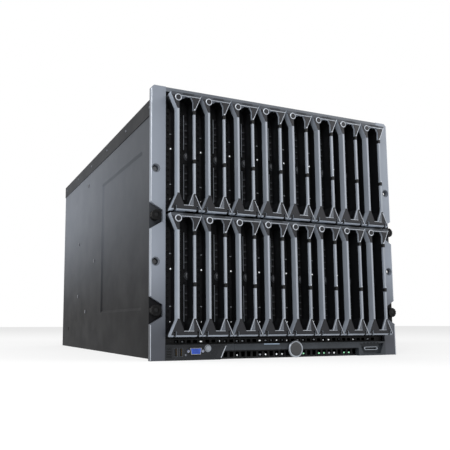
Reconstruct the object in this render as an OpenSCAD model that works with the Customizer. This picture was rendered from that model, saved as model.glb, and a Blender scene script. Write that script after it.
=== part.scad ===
// Rack-mounted blade server chassis: sixteen half-height blades in two rows of
// eight, each with a full-height swing handle, over a front control strip, with
// power supplies, fans, I/O modules and controllers in the rear bay.
//
// Millimetres. X across the front, +Y into the rack, +Z up. The origin is the
// centre of the footprint at floor level. Inside the modules y = 0 is the front
// face of the rack ears, and at_face() moves a piece to its place.

/* [Blade bays] */
// Distance from one blade to the next across the front
bay_pitch = 54; // [52:0.5:58]
// Distance from one row of blades to the next
row_pitch = 196; // [190:1:206]
// Height of the lower bays' floor above the ground
bay_floor = 35.5; // [34:0.5:45]
// Depth from the rack ears to the midplane
bay_depth = 486; // [440:1:560]
// Thickness of the decks that the blades slide on
deck_sheet = 2; // [1:0.5:3]
// Height of the guide ribs on the decks
guide_height = 3; // [2:0.5:5]
// Thickness of the guide ribs
guide_width = 1.6; // [1:0.2:2]
// Thickness of the bay side walls
cage_sheet = 1.2; // [1:0.1:1.5]

/* [Enclosure] */
// Width across the two rack ears (19 inch rack)
rack_width = 482.6; // [476:0.1:486]
// Space from the outer bays to the outside of the enclosure
side_margin = 7.5; // [7:0.1:9]
// Space from the top bays to the top of the rack ears
top_space = 12.5; // [11:0.5:20]
// Length of the bay behind the midplane
rear_bay = 244; // [220:1:300]
// Depth from the enclosure's rear edge to the module faces
rear_recess = 20; // [16:1:30]
// Sheet of the side panels, base pan and rear frame
panel_sheet = 1.5; // [1.2:0.1:2]
// Sheet of the top cover
cover_sheet = 1.2; // [0.8:0.1:1.5]
// Step from the top of the ears down to the top cover
cover_drop = 2; // [1:0.5:4]
// Depth of the top cover's side flanges
cover_flange = 27; // [15:1:40]
// Height of the base pan's side flanges
pan_flange = 15; // [10:1:25]
// Thickness of the midplane board
midplane_thick = 4; // [3:0.5:6]

/* [Side panel embossing] */
// Distance from the ears to the embossed field
emboss_front = 96; // [60:1:150]
// Length of the embossed field
emboss_length = 267; // [150:1:330]
// Height of the embossed field's lower edge
emboss_low = 79.5; // [60:0.5:120]
// Height of the embossed field
emboss_height = 279.5; // [150:0.5:300]
// Depth of the embossed field
emboss_depth = 2.6; // [1:0.1:3]
// Width of the bevel round the embossed field
emboss_bevel = 5; // [3:0.5:8]
// Distance from the ears to the stiffening groove
groove_front = 535; // [450:1:560]
// Length of the stiffening groove
groove_length = 152; // [80:1:170]
// Height of the stiffening groove above the ground
groove_level = 45; // [35:1:60]
// Width of the stiffening groove
groove_width = 8; // [5:0.5:12]
// Depth of the stiffening groove
groove_depth = 0.7; // [0.3:0.1:1]

/* [Rack ears] */
// Thickness of the ear covers
ear_cover = 6; // [4:0.5:9]
// Chamfer at the ears' outer top corners
ear_corner = 5; // [2:0.5:8]
// Distance between the rack holes, left to right
rack_span = 465.1; // [463:0.1:466]
// Height of the lower rack holes above the ground
rack_low = 153.4; // [150:0.1:158]
// Distance from the lower to the upper rack holes
rack_rise = 149.225; // [133.35:0.005:150]
// Radius of the rack holes
rack_hole_r = 3.5; // [3:0.1:4]
// Radius of the screw-head holes in the ear covers
head_hole_r = 5.75; // [5:0.05:6.5]
// Distance from each rack hole down to its thumbscrew
knob_drop = 76.2; // [60:0.1:80]
// Radius of the thumbscrew knobs
knob_r = 8.4; // [7:0.1:8.6]
// Length of the thumbscrew knobs
knob_length = 11; // [8:0.5:16]
// Radius of the thumbscrew shanks
shank_r = 2.9; // [2.5:0.1:3]
// Depth of the thumbscrew notches
notch_depth = 20.5; // [18:0.5:21]
// Height of the notches at the ear's edge
notch_mouth = 43; // [38:1:50]
// Height of the notches at their floor
notch_floor = 18.5; // [17:0.5:30]

/* [Blades] */
// Space between a blade and the edge of its bay
blade_gap = 2; // [1.5:0.1:3]
// Setback of the blades' face plates behind the ears
plate_setback = 8; // [7:0.5:12]
// Thickness of the blades' face plates
plate_sheet = 2; // [1.5:0.1:3]
// Length of the connectors behind the blades
connector_length = 12; // [8:1:20]
// Size of the square air holes
vent_size = 5; // [4:0.1:6]
// Distance between the air holes, up the blade
vent_pitch = 10.4; // [8:0.1:12]
// Width of a drive carrier
carrier_width = 17; // [15:0.5:18]
// Height of a drive carrier
carrier_height = 80; // [70:1:82]
// Distance from one drive carrier to the next
carrier_pitch = 83.6; // [82.5:0.1:86]
// How far the carriers stand out of the face plate
carrier_reach = 2; // [1:0.1:2.4]

/* [Blade handles] */
// Reach of the handles in front of the ears
handle_reach = 22; // [18:0.5:30]
// Space between the handles and the face plates
handle_gap = 3; // [2.7:0.1:4]
// Space between one handle and the next
handle_space = 1.5; // [1:0.1:3]
// Half the width of a handle at its waist
waist_half = 15.75; // [14:0.25:18]
// Thickness of the handle rails
rail_thick = 3.5; // [2.5:0.1:5]
// Height of the flare at the foot and head of a handle
flare_height = 26; // [18:1:40]
// Height of the handles' lower bars
foot_bar = 9; // [8.6:0.2:12]
// Height of the handles' upper bars
head_bar = 5; // [4:0.5:8]
// Width of the gussets inside the handles' feet
gusset_width = 8; // [3:0.5:9]
// Height of the gussets inside the handles' feet
gusset_height = 20; // [10:1:30]
// Radius of the hinge knuckles
knuckle_r = 4.5; // [4:0.1:4.5]
// Radius of the hinge pins
pin_r = 2; // [1.5:0.1:2.2]
// Thickness of the hinge arms on the blades
arm_thick = 3; // [2:0.1:4]
// Distance of the hinge arms from the middle of the blade
arm_offset = 18; // [17:0.5:19]
// Radius of the release buttons
button_r = 3.9; // [3:0.1:4.5]
// How far the release buttons stand out of the handles
button_reach = 1.5; // [0.5:0.1:3]
// Distance of the release buttons from the top of the handles
button_drop = 8.5; // [7:0.5:12]

/* [Front strip] */
// Height of the front strip
strip_height = 24.5; // [22:0.5:28]
// How far the front strip stands out in front of the ears
strip_reach = 1; // [0:0.1:3]
// Height of the bar along the strip
bar_height = 10.5; // [8:0.5:12]
// Right-hand edge of the control block at its top
control_edge = -109; // [-115:0.5:-105]
// How much the control block's edge slants
control_slant = 13; // [5:0.5:15]
// Left-hand edge of the grip block
grip_edge = 155; // [140:1:165]
// Left-hand edge of the display module
display_left = -96; // [-104:0.5:-90]
// Width of the display module
display_width = 89.5; // [70:0.5:95]
// Depth of the display module
display_depth = 98; // [80:1:120]
// Length of the tray behind the display module
tray_length = 60; // [40:1:80]
// Radius of the round badge
badge_r = 14; // [10:0.5:14]
// Distance of the badge to the right of the middle
badge_x = 19.7; // [15:0.1:40]
// Radius of the power button
power_r = 4; // [3:0.1:4.5]
// Thickness of the intake grille
grille_sheet = 1.2; // [0.8:0.1:1.5]
// Width of a slot in the intake grille
slot_width = 7; // [4:0.5:9]
// Distance between the slots of the intake grille
slot_pitch = 10.8; // [10:0.1:14]

/* [Rear bay] */
// Height of the power supplies
psu_height = 88; // [80:1:92]
// Height of the controller modules
controller_height = 38; // [30:1:42]
// Width of an I/O module's slot
io_pitch = 32.5; // [30:0.5:36]
// Radius of the fans' air ducts
duct_r = 35; // [30:0.5:36]
// Depth of the fan modules
fan_depth = 90; // [60:1:120]
// Depth of the other rear modules
module_depth = 228; // [150:1:240]
// Overlap of a module's end plate on the rear frame
lip = 1.5; // [1:0.1:2]
// Thickness of the modules' end plates
end_plate = 2; // [1.5:0.1:3]

/* [Clearances] */
// Running clearance of everything that slides
run_gap = 0.3; // [0.2:0.05:0.5]
// Radial clearance of hinge pins and shanks
pin_gap = 0.06; // [0.02:0.01:0.1]
// Gap round a button in its hole
button_gap = 0.15; // [0.1:0.05:0.3]
// Seat gap between separate pieces screwed or clipped together
seat_gap = 0.05; // [0.02:0.01:0.1]

/* [Hidden] */
$fn = 48;
bay_cols = 8;
bay_rows = 2;
drives_per_blade = 2;
overrun = 1;          // how far a cutter runs past the face it cuts

bays_half = bay_cols * bay_pitch / 2;
body_half = bays_half + side_margin;
panel_out = body_half - cover_sheet;
panel_in = panel_out - panel_sheet;
ear_half = rack_width / 2;
ear_height = bay_floor + bay_rows * row_pitch + top_space;
cover_top = ear_height - cover_drop;
cover_under = cover_top - cover_sheet;
depth = bay_depth + midplane_thick + rear_bay + rear_recess;
reach = handle_reach + button_reach;
face_y = (reach - depth) / 2;
flange_y = ear_cover;
sheet_y = ear_cover + panel_sheet;   // front edge of the enclosure's sheets
ceiling = row_z(bay_rows);
knob_heights = [rack_low - knob_drop, rack_low + rack_rise - knob_drop];
rack_heights = [rack_low, rack_low + rack_rise];

blade_half = bay_pitch / 2 - blade_gap;
blade_height = row_pitch - deck_sheet - 2 * run_gap;
case_y = plate_setback + plate_sheet;
carrier_x = blade_half - carrier_width / 2 - 2;
carrier_low = 4;                     // height of the lower carrier above the bay's floor
handle_half = (bay_pitch - handle_space) / 2;
handle_low = 1;
handle_height = row_pitch - deck_sheet - 2 * handle_low;
handle_back = plate_setback - handle_gap;
pivot_y = knuckle_r - handle_reach;
pivot_z = handle_low + knuckle_r;

strip_y = -strip_reach;
bar_low = strip_height - bar_height;
grille_y = plate_setback;
badge_z = badge_r + 0.3;
usb_places = [-199, -190];
usb_inner = [4.7, 12.4];
usb_wall = 0.4;
usb_z = 12.5;
usb_depth = 13;
vga_x = -166;
vga_z = 14;
power_x = -144;
power_z = 18;
power_travel = 1.5;

frame_y = bay_depth + midplane_thick + rear_bay - end_plate;   // rear face of the rear frame
module_y = frame_y + end_plate;                                // rear face of the end plates
shelf_low = panel_sheet + 2 * run_gap + psu_height;
shelf_high = shelf_low + panel_sheet + 2 * run_gap + controller_height;
fan_low = shelf_high + panel_sheet;
psu_count = 6;
controller_count = 3;
fan_rows = 3;
io_groups = 2;
io_per_group = 3;
fan_width = (2 * bays_half - io_groups * io_per_group * io_pitch) / 3;
fan_pitch = (cover_under - cover_flange / 4 - fan_low) / fan_rows;
rear_gap = 0.4;       // gap between neighbouring end plates

rows = ["lower", "upper"];
function blade_name(r, c) = str("blade_", rows[r], "_", c + 1);
function handle_name(r, c) = str("handle_", rows[r], "_", c + 1);
function row_z(r) = bay_floor + r * row_pitch;
function cell_x(c) = (c - (bay_cols - 1) / 2) * bay_pitch;

// ---------- helpers ----------

module at_face() { translate([0, face_y, 0]) children(); }

module mirrored(side) { scale([side, 1, 1]) children(); }

module block(x, y, z) {
    translate([x[0], y[0], z[0]]) cube([x[1] - x[0], y[1] - y[0], z[1] - z[0]]);
}

// A profile drawn in X and Z, with thickness from y[0] to y[1].
module plate(y) {
    translate([0, y[1], 0]) rotate([90, 0, 0]) linear_extrude(y[1] - y[0]) children();
}

// A profile drawn in Y and Z, with thickness from x[0] to x[1].
module profile(x) {
    translate([x[0], 0, 0]) rotate([90, 0, 90]) linear_extrude(x[1] - x[0]) children();
}

module rod_y(x, z, y, r) {
    translate([x, y[1], z]) rotate([90, 0, 0]) cylinder(h = y[1] - y[0], r = r);
}

module rod_x(y, z, x, r) {
    translate([x[0], y, z]) rotate([0, 90, 0]) cylinder(h = x[1] - x[0], r = r);
}

module in_bay(r, c) { translate([cell_x(c), face_y, row_z(r)]) children(); }

// ---------- enclosure ----------

module base_pan() {
    color("#26272b") at_face() {
        block([-panel_in, panel_in], [grille_y, depth], [0, panel_sheet]);
        for (s = [-1, 1]) mirrored(s)
            block([panel_in - panel_sheet, panel_in], [grille_y + 4, depth],
                  [panel_sheet, pan_flange]);
    }
}

// Rounded rectangle of the embossed field, drawn in Y and Z, grown by a margin.
module emboss_outline(grow) {
    translate([emboss_front, emboss_low]) offset(r = emboss_bevel + grow)
        translate([emboss_bevel, emboss_bevel])
            square([emboss_length - 2 * emboss_bevel, emboss_height - 2 * emboss_bevel]);
}

// Pan-shaped dish of the embossed field, from its rim to its floor.
module emboss_dish(out, floor, grow) {
    hull() {
        profile([out - 0.01, out + overrun]) emboss_outline(grow);
        profile([floor, floor + 0.01]) emboss_outline(grow - emboss_bevel);
    }
}

module stiffening_groove() {
    ends = [groove_front + groove_width / 2, groove_front + groove_length - groove_width / 2];
    x = [panel_out - groove_depth, panel_out + overrun];
    for (y = ends) rod_x(y, groove_level, x, groove_width / 2);
    block(x, ends, [groove_level - groove_width / 2, groove_level + groove_width / 2]);
}

module side_wall() {
    difference() {
        union() {
            block([panel_in, panel_out], [sheet_y, depth], [0, cover_under]);
            emboss_dish(panel_in, panel_in - emboss_depth, panel_sheet);
        }
        emboss_dish(panel_out, panel_out - emboss_depth, 0);
        stiffening_groove();
    }
}

// Strip of the rack ear in X and Z, with its chamfered outer top corner.
module ear_strip() {
    polygon([[bays_half, 0], [ear_half, 0], [ear_half, ear_height - ear_corner],
             [ear_half - ear_corner, ear_height], [bays_half, ear_height]]);
}

module rack_flange() {
    difference() {
        plate([flange_y, sheet_y]) ear_strip();
        for (z = rack_heights) rod_y(rack_span / 2, z, [flange_y - overrun, sheet_y + overrun],
                                     rack_hole_r);
        for (z = knob_heights) rod_y(rack_span / 2, z, [flange_y - overrun, sheet_y + overrun],
                                     shank_r + pin_gap);
    }
}

module side_panel(side) {
    color("#2a2b30") at_face() mirrored(side) {
        side_wall();
        rack_flange();
    }
}

module left_side_panel() { side_panel(-1); }
module right_side_panel() { side_panel(1); }

module top_cover() {
    color("#303136") at_face() {
        block([-body_half, body_half], [sheet_y, depth], [cover_under, cover_top]);
        for (s = [-1, 1]) mirrored(s)
            block([panel_out, body_half], [sheet_y, depth],
                  [cover_under - cover_flange, cover_under]);
    }
}

module notch(z) {
    translate([ear_half, z])
        polygon([[overrun, -notch_mouth / 2], [0, -notch_mouth / 2],
                 [-notch_depth, -notch_floor / 2], [-notch_depth, notch_floor / 2],
                 [0, notch_mouth / 2], [overrun, notch_mouth / 2]]);
}

module rack_ear(side) {
    color("#5d626a") at_face() mirrored(side) difference() {
        plate([0, ear_cover]) difference() {
            ear_strip();
            for (z = knob_heights) notch(z);
        }
        for (z = rack_heights)
            rod_y(rack_span / 2, z, [-overrun, ear_cover + overrun], head_hole_r);
    }
}

module left_rack_ear() { rack_ear(-1); }
module right_rack_ear() { rack_ear(1); }

module top_trim() {
    trim_low = cover_top - 6;
    tab = [8, 7];
    color("#4a4d53") at_face() {
        profile([-bays_half, bays_half])
            polygon([[0, trim_low], [0, ear_height - 1.5], [1.5, ear_height],
                     [sheet_y + 8, ear_height], [sheet_y + 8, cover_top],
                     [sheet_y - run_gap, cover_top], [sheet_y - run_gap, trim_low]]);
        for (c = [1 : bay_cols - 1])
            translate([cell_x(c) - bay_pitch / 2 - tab[0] / 2, -1.2, trim_low - tab[1] / 2])
                cube([tab[0], 1.2, tab[1]]);
    }
}

// ---------- blade bays ----------

module deck(r, half, ribs) {
    block([-half, half], [plate_setback + 4, bay_depth], [row_z(r) - deck_sheet, row_z(r)]);
    for (c = [1 : bay_cols - 1], z = ribs)
        translate([cell_x(c) - bay_pitch / 2 - guide_width / 2, plate_setback + 14,
                   row_z(r) + z])
            cube([guide_width, bay_depth - plate_setback - 34, guide_height]);
}

module card_cage() {
    under = -deck_sheet - guide_height;
    color("#1d1e21") at_face() {
        deck(0, panel_in, [0]);
        deck(1, bays_half, [0, under]);
        deck(2, panel_in, [under]);
        for (s = [-1, 1]) mirrored(s)
            block([bays_half, bays_half + cage_sheet], [plate_setback + 4, bay_depth],
                  [row_z(0), ceiling - deck_sheet]);
    }
}

module midplane() {
    slot = [16, 34];
    color("#24402f") at_face()
        plate([bay_depth, bay_depth + midplane_thick]) difference() {
            translate([-bays_half, row_z(0) - deck_sheet])
                square([2 * bays_half, ceiling - row_z(0) + deck_sheet]);
            for (r = [0 : bay_rows - 1], c = [0 : bay_cols - 1])
                translate([cell_x(c) - slot[0] / 2, row_z(r) + row_pitch / 2 - slot[1] / 2])
                    square(slot);
        }
}

// Face plate of a blade: air holes on the left, a window for the drives on the right.
module blade_plate() {
    vent_rows = 16;
    vent_low = 17;
    plate([plate_setback, case_y]) difference() {
        translate([-blade_half, run_gap]) square([2 * blade_half, blade_height]);
        for (x = [-21, -7.5, 1], i = [0 : vent_rows - 1])
            translate([x - vent_size / 2, vent_low + i * vent_pitch])
                square(vent_size);
        translate([carrier_x - carrier_width / 2 - run_gap, carrier_low - run_gap])
            square([carrier_width + 2 * run_gap,
                    carrier_pitch + carrier_height + 2 * run_gap]);
    }
}

// Front of a drive carrier: a slotted plate between two raised edges, over a round latch boss.
module drive_carrier() {
    rim = 2.4;
    slot_zone = carrier_height - 24;
    slots = 5;
    step = slot_zone / slots;
    boss_r = 5.4;
    back_y = case_y - seat_gap;
    base_y = back_y - 1.5;
    front_y = plate_setback - carrier_reach;
    w = carrier_width / 2;
    plate([base_y, back_y]) difference() {
        translate([-w, 0]) square([2 * w, carrier_height]);
        for (i = [0 : slots - 1])
            translate([-w + rim + 1.2, 22 + i * step]) square([2 * (w - rim) - 2.4, step - 3]);
    }
    for (s = [-1, 1]) mirrored(s)
        block([w - rim, w], [front_y, base_y], [20, carrier_height]);
    block([-w + rim, w - rim], [front_y, base_y], [carrier_height - rim, carrier_height]);
    rod_y(0, 10, [front_y, base_y], boss_r);
}

// Arm that carries the handle's pin in front of the blade's foot.
module hinge_arm() {
    arm_r = 3.5;
    profile([-arm_thick / 2, arm_thick / 2]) difference() {
        union() {
            translate([pivot_y, pivot_z]) circle(r = arm_r);
            translate([pivot_y, pivot_z - arm_r])
                square([plate_setback - pivot_y, 2 * arm_r]);
        }
        translate([pivot_y, pivot_z]) circle(r = pin_r + pin_gap);
    }
}

// Status lights beside each drive.
module drive_lights() {
    light_x = -15.5;
    light_r = 1.3;
    for (i = [0 : drives_per_blade - 1], z = [20, 44.5])
        rod_y(light_x, carrier_low + i * carrier_pitch + z,
              [plate_setback - 0.4, plate_setback], light_r);
}

module blade(r, c) {
    connector_z = [20, 122];
    color("#33353a") in_bay(r, c) {
        block([-blade_half, blade_half], [case_y, bay_depth - connector_length],
              [run_gap, run_gap + blade_height]);
        blade_plate();
        drive_lights();
        for (i = [0 : drives_per_blade - 1])
            translate([carrier_x, 0, carrier_low + i * carrier_pitch]) drive_carrier();
        for (s = [-1, 1]) translate([s * (arm_offset + arm_thick / 2), 0, 0]) hinge_arm();
        block([-button_side() - 5, -button_side() + 5], [handle_back + run_gap, plate_setback],
              [blade_height - 14, blade_height - 4]);
        for (z = connector_z)
            block([-9, 9], [bay_depth - connector_length, bay_depth - run_gap], [z, z + 52]);
    }
}

function button_side() = waist_half - rail_thick / 2;

// Outline of a handle in X and Z: full width at foot and head, waisted between.
module handle_outline() {
    lip_end = 3;
    h = handle_height;
    right = [[handle_half, 0], [handle_half, lip_end], [waist_half, flare_height],
             [waist_half, h - flare_height], [handle_half, h - lip_end], [handle_half, h]];
    polygon(concat(right, [for (i = [len(right) - 1 : -1 : 0]) [-right[i][0], right[i][1]]]));
}

// Window between the rails, closed in at the feet by the gussets.
module handle_window() {
    half = waist_half - rail_thick;
    top = handle_height - head_bar;
    head_cut = 4;
    right = [[half - gusset_width, foot_bar], [half, foot_bar + gusset_height],
             [half, top - 2 * head_cut], [half - head_cut, top]];
    polygon(concat(right, [for (i = [len(right) - 1 : -1 : 0]) [-right[i][0], right[i][1]]]));
}

module handle(r, c) {
    boss_r = button_r + 1.6;
    bore_depth = 10;
    button_z = handle_low + handle_height - button_drop;
    slot_top = pivot_z + 4;
    arm_gap = 0.8;
    color("#6b7078") in_bay(r, c) {
        difference() {
            union() {
                translate([0, 0, handle_low]) plate([-handle_reach, handle_back])
                    difference() {
                        handle_outline();
                        handle_window();
                    }
                rod_y(-button_side(), button_z, [-handle_reach, handle_back], boss_r);
            }
            // rounded lower front edge, about the hinge line
            difference() {
                block([-bay_pitch, bay_pitch], [-handle_reach - overrun, pivot_y],
                      [handle_low - overrun, pivot_z]);
                rod_x(pivot_y, pivot_z, [-bay_pitch, bay_pitch], knuckle_r);
            }
            for (s = [-1, 1])
                translate([s * (arm_offset + arm_thick / 2), 0, 0])
                    block([-arm_thick / 2 - arm_gap, arm_thick / 2 + arm_gap],
                          [-handle_reach - overrun, handle_back + overrun],
                          [handle_low - overrun, slot_top]);
            rod_y(-button_side(), button_z,
                  [-handle_reach - overrun, bore_depth - handle_reach],
                  button_r + button_gap);
        }
        for (s = [-1, 1])
            translate([s * (arm_offset + arm_thick / 2), 0, 0])
                rod_x(pivot_y, pivot_z, [-arm_thick / 2 - arm_gap, arm_thick / 2 + arm_gap],
                      pin_r);
        rod_y(-button_side(), button_z,
              [-handle_reach - button_reach, bore_depth - handle_reach - run_gap], button_r);
    }
}

// ---------- front strip ----------

module intake_grille() {
    rows_z = [[3, 8.5], [strip_height + 2, 5]];
    count = floor(2 * (bays_half - slot_pitch) / slot_pitch);
    color("#3a3b3f") at_face()
        difference() {
            plate([grille_y, grille_y + grille_sheet]) difference() {
                translate([-bays_half, panel_sheet])
                    square([2 * bays_half, bay_floor - deck_sheet - panel_sheet]);
                for (row = rows_z, i = [0 : count - 1])
                    translate([(i - (count - 1) / 2) * slot_pitch - slot_width / 2, row[0]])
                        square([slot_width, row[1]]);
                control_outline();
                grip_outline();
                display_window();
            }
        }
}

module control_outline() {
    polygon([[-bays_half, 0], [control_edge - control_slant, 0],
             [control_edge, strip_height], [-bays_half, strip_height]]);
}

module grip_outline() {
    translate([grip_edge, 0]) square([bays_half - grip_edge, strip_height]);
}

module display_window() {
    translate([display_left - run_gap, bar_low - run_gap])
        square([display_width + 2 * run_gap, bar_height + 2 * run_gap]);
}

// Bar along the strip, the block with the grip recess at its right-hand end.
module lower_bezel() {
    recess_depth = 6;
    slant = control_slant * bar_low / strip_height;
    color("#4b4e54") at_face() {
        plate([strip_y, grille_y]) difference() {
            polygon([[control_edge - control_slant + slant, bar_low], [grip_edge, bar_low],
                     [grip_edge, strip_height], [control_edge, strip_height]]);
            display_window();
        }
        difference() {
            plate([strip_y, grille_y]) grip_outline();
            plate([strip_y - overrun, strip_y + recess_depth])
                polygon([[grip_edge + 11, 3], [bays_half - 12, 3],
                         [bays_half - 4, strip_height - 3], [grip_edge + 3, strip_height - 3]]);
        }
        plate([strip_y + 1.5, strip_y + recess_depth]) difference() {
            translate([grip_edge + 12, 9]) square([32, 7]);
            translate([grip_edge + 10, 11]) square([30, 3]);
        }
    }
}

module badge_disc() {
    rim = 2.2;
    color("#c8cacf") at_face() {
        translate([badge_x, strip_y, badge_z]) rotate([90, 0, 0]) rotate_extrude()
            polygon([[0, 0], [badge_r - 1, 0], [badge_r, 1], [badge_r, 3], [badge_r - 1, 4],
                     [badge_r - rim, 4], [badge_r - rim - 0.8, 2.8], [0, 3.2]]);
    }
}

module usb_outline(grow) {
    for (x = usb_places)
        translate([x - usb_inner[0] / 2 - grow, usb_z - usb_inner[1] / 2 - grow])
            square([usb_inner[0] + 2 * grow, usb_inner[1] + 2 * grow]);
}

module vga_outline(grow) {
    offset(r = grow) polygon([[vga_x - 8.5, vga_z + 4], [vga_x + 8.5, vga_z + 4],
                              [vga_x + 7, vga_z - 4], [vga_x - 7, vga_z - 4]]);
}

module control_panel() {
    housing_depth = 34;
    pocket = usb_depth + 2;
    color("#2c2e33") at_face() difference() {
        union() {
            plate([strip_y, grille_y]) control_outline();
            block([-bays_half + 4, control_edge - control_slant - 4], [grille_y, housing_depth],
                  [panel_sheet + run_gap, strip_height - 1]);
        }
        plate([strip_y - overrun, pocket]) usb_outline(usb_wall + button_gap);
        plate([strip_y - overrun, strip_y + 2]) vga_outline(1.2);
        rod_y(power_x, power_z, [strip_y - overrun, strip_y + 8], power_r + button_gap);
        // shallow ribs of the blank filler at the left and of the slanted end
        for (z = [4 : 4 : strip_height - 4])
            block([-bays_half + 1.5, -bays_half + 10], [strip_y - overrun, strip_y + 0.6],
                  [z, z + 1.2]);
    }
}

module console_ports() {
    color("#3c6ab8") at_face() {
        difference() {
            plate([strip_y - 0.4, strip_y + usb_depth]) usb_outline(usb_wall);
            plate([strip_y - overrun, strip_y + usb_depth - 1]) usb_outline(0);
        }
        plate([strip_y - 3.5, strip_y + 2]) vga_outline(0);
        for (s = [-1, 1]) rod_y(vga_x + s * 12.5, vga_z, [strip_y - 2.5, strip_y], 2.2);
    }
}

module power_button() {
    color("#9aa0a8") at_face()
        rod_y(power_x, power_z, [strip_y - 1.6, strip_y + 8 - power_travel - run_gap], power_r);
}

module display_tray() {
    color("#3a3c41") at_face()
        block([display_left, display_left + display_width],
              [strip_y + display_depth, strip_y + display_depth + tray_length],
              [bar_low, strip_height - 1]);
}

module display_module() {
    color("#4b4e54") at_face() difference() {
        block([display_left, display_left + display_width], [strip_y, strip_y + display_depth],
              [bar_low, strip_height - 0.2]);
        block([display_left + 12, display_left + display_width - 12],
              [strip_y + 14, strip_y + display_depth - 26],
              [strip_height - 1, strip_height + overrun]);
    }
}

module thumbscrew(side, z) {
    shank = 12;
    grips = 12;
    y = [flange_y - knob_length, flange_y - run_gap];
    color("#1a1a1c") at_face() mirrored(side) {
        difference() {
            rod_y(rack_span / 2, z, y, knob_r);
            for (i = [0 : grips - 1]) translate([rack_span / 2, 0, z])
                rotate([0, i * 360 / grips, 0]) rod_y(knob_r + 0.5, 0, [y[0] - overrun, y[1] - 3], 1.1);
            rod_y(rack_span / 2, z, [y[0] - overrun, y[0] + 1.5], knob_r / 2);
        }
        rod_y(rack_span / 2, z, [y[1], sheet_y + shank], shank_r);
    }
}

module thumbscrew_upper_left() { thumbscrew(-1, knob_heights[1]); }
module thumbscrew_upper_right() { thumbscrew(1, knob_heights[1]); }
module thumbscrew_lower_left() { thumbscrew(-1, knob_heights[0]); }
module thumbscrew_lower_right() { thumbscrew(1, knob_heights[0]); }

// Screw heads on the side panels: [distance behind the ears, height].
module case_screws() {
    places = [[485, 384], [498, 86], [577, 125], [576, 255], [424, 198]];
    color("#55585e") at_face()
        for (s = [-1, 1], p = places) mirrored(s) difference() {
            rod_x(p[0], p[1], [panel_out, body_half], 4);
            rod_x(p[0], p[1], [body_half - 0.7, body_half + overrun], 1.6);
        }
}

// ---------- rear bay ----------

// Middles of the fan columns and of the I/O slots between them.
fan_columns = [for (i = [0 : 2])
    -bays_half + fan_width / 2 + i * (fan_width + io_per_group * io_pitch)];
io_columns = [for (g = [0 : io_groups - 1], i = [0 : io_per_group - 1])
    -bays_half + (g + 1) * fan_width + (g * io_per_group + i + 0.5) * io_pitch];
io_height = fan_rows * fan_pitch - 2 * rear_gap;

// Opening for a module with its end plate w wide and h high, standing on z = 0.
module module_hole(w, h) {
    translate([-w / 2 + lip, lip - run_gap]) square([w - 2 * lip, h - 2 * lip + 2 * run_gap]);
}

module rear_frame() {
    color("#2a2b30") at_face() {
        plate([frame_y - panel_sheet, frame_y]) difference() {
            translate([-panel_in, panel_sheet]) square([2 * panel_in, cover_under - panel_sheet]);
            for (s = [-1, 1]) scale([s, 1]) translate([panel_in - panel_sheet, 0])
                square([panel_sheet + overrun, pan_flange]);
            for (i = [0 : psu_count - 1]) translate([psu_x(i), psu_low()])
                module_hole(psu_width(), psu_height);
            for (i = [0 : controller_count - 1]) translate([controller_x(i), controller_low()])
                module_hole(controller_width(), controller_height);
            for (x = fan_columns, k = [0 : fan_rows - 1])
                translate([x, fan_low + k * fan_pitch + rear_gap])
                    module_hole(fan_width - 2 * rear_gap, fan_pitch - 2 * rear_gap);
            for (x = io_columns) translate([x, fan_low + rear_gap])
                module_hole(io_pitch - 2 * rear_gap, io_height);
        }
        for (z = [shelf_low, shelf_high])
            block([-panel_in, panel_in], [bay_depth + midplane_thick, frame_y - panel_sheet],
                  [z, z + panel_sheet]);
    }
}

function psu_width() = 2 * bays_half / psu_count - 2 * rear_gap;
function psu_x(i) = -bays_half + (i + 0.5) * 2 * bays_half / psu_count;
function psu_low() = panel_sheet + run_gap;
function controller_width() = 2 * bays_half / controller_count - 2 * rear_gap;
function controller_x(i) = -bays_half + (i + 0.5) * 2 * bays_half / controller_count;
function controller_low() = shelf_low + panel_sheet + run_gap;

// A module's body behind the rear frame and its end plate outside it.
module rear_module(w, h, length) {
    block([-w / 2 + lip + run_gap, w / 2 - lip - run_gap], [frame_y - length, frame_y],
          [lip, h - lip]);
    block([-w / 2, w / 2], [frame_y, module_y], [0, h]);
}

// U-shaped pull: two legs and a bar, standing out of the end plate.
module psu_handle() {
    bar = 5;
    span = 56;
    out = rear_recess - 1;
    profile([-4, 4]) difference() {
        translate([module_y, 0]) square([out, span]);
        translate([module_y - overrun, bar]) square([out - bar + overrun, span - 2 * bar]);
    }
}

inlet = [27, 19];
inlet_depth = 18;
module power_supplies() {
    color("#45484e") at_face() for (i = [0 : psu_count - 1])
        translate([psu_x(i), 0, psu_low()]) {
            difference() {
                rear_module(psu_width(), psu_height, module_depth);
                block([4, 4 + inlet[0]], [module_y - inlet_depth, module_y + overrun],
                      [10, 10 + inlet[1]]);
                for (x = [-27 : 6 : -9], z = [10 : 6 : 70])
                    block([x, x + 4], [module_y - 1, module_y + overrun], [z, z + 4]);
            }
            for (x = [8.5, 16.5, 24.5])
                block([x, x + 2.2], [module_y - inlet_depth, module_y - 6], [17, 23]);
            translate([17, 0, 31]) psu_handle();
        }
}

module fan_housings() {
    color("#3b3d42") at_face() for (x = fan_columns, k = [0 : fan_rows - 1])
        translate([x, 0, fan_low + k * fan_pitch + rear_gap]) {
            h = fan_pitch - 2 * rear_gap;
            difference() {
                rear_module(fan_width - 2 * rear_gap, h, fan_depth);
                rod_y(0, h / 2, [frame_y - fan_depth - overrun, module_y + overrun], duct_r);
            }
            fan_spider(h / 2);
            fan_grille(h / 2);
        }
}

motor_r = 15;
// Motor cup on three struts at the duct's inner end.
module fan_spider(z) {
    y = [frame_y - fan_depth + 2, frame_y - fan_depth + 12];
    rod_y(0, z, y, motor_r);
    for (a = [30, 150, 270]) translate([0, 0, z]) rotate([0, a, 0])
        block([motor_r - 1, duct_r + 1], [y[0], y[0] + 6], [-1.5, 1.5]);
}

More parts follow.
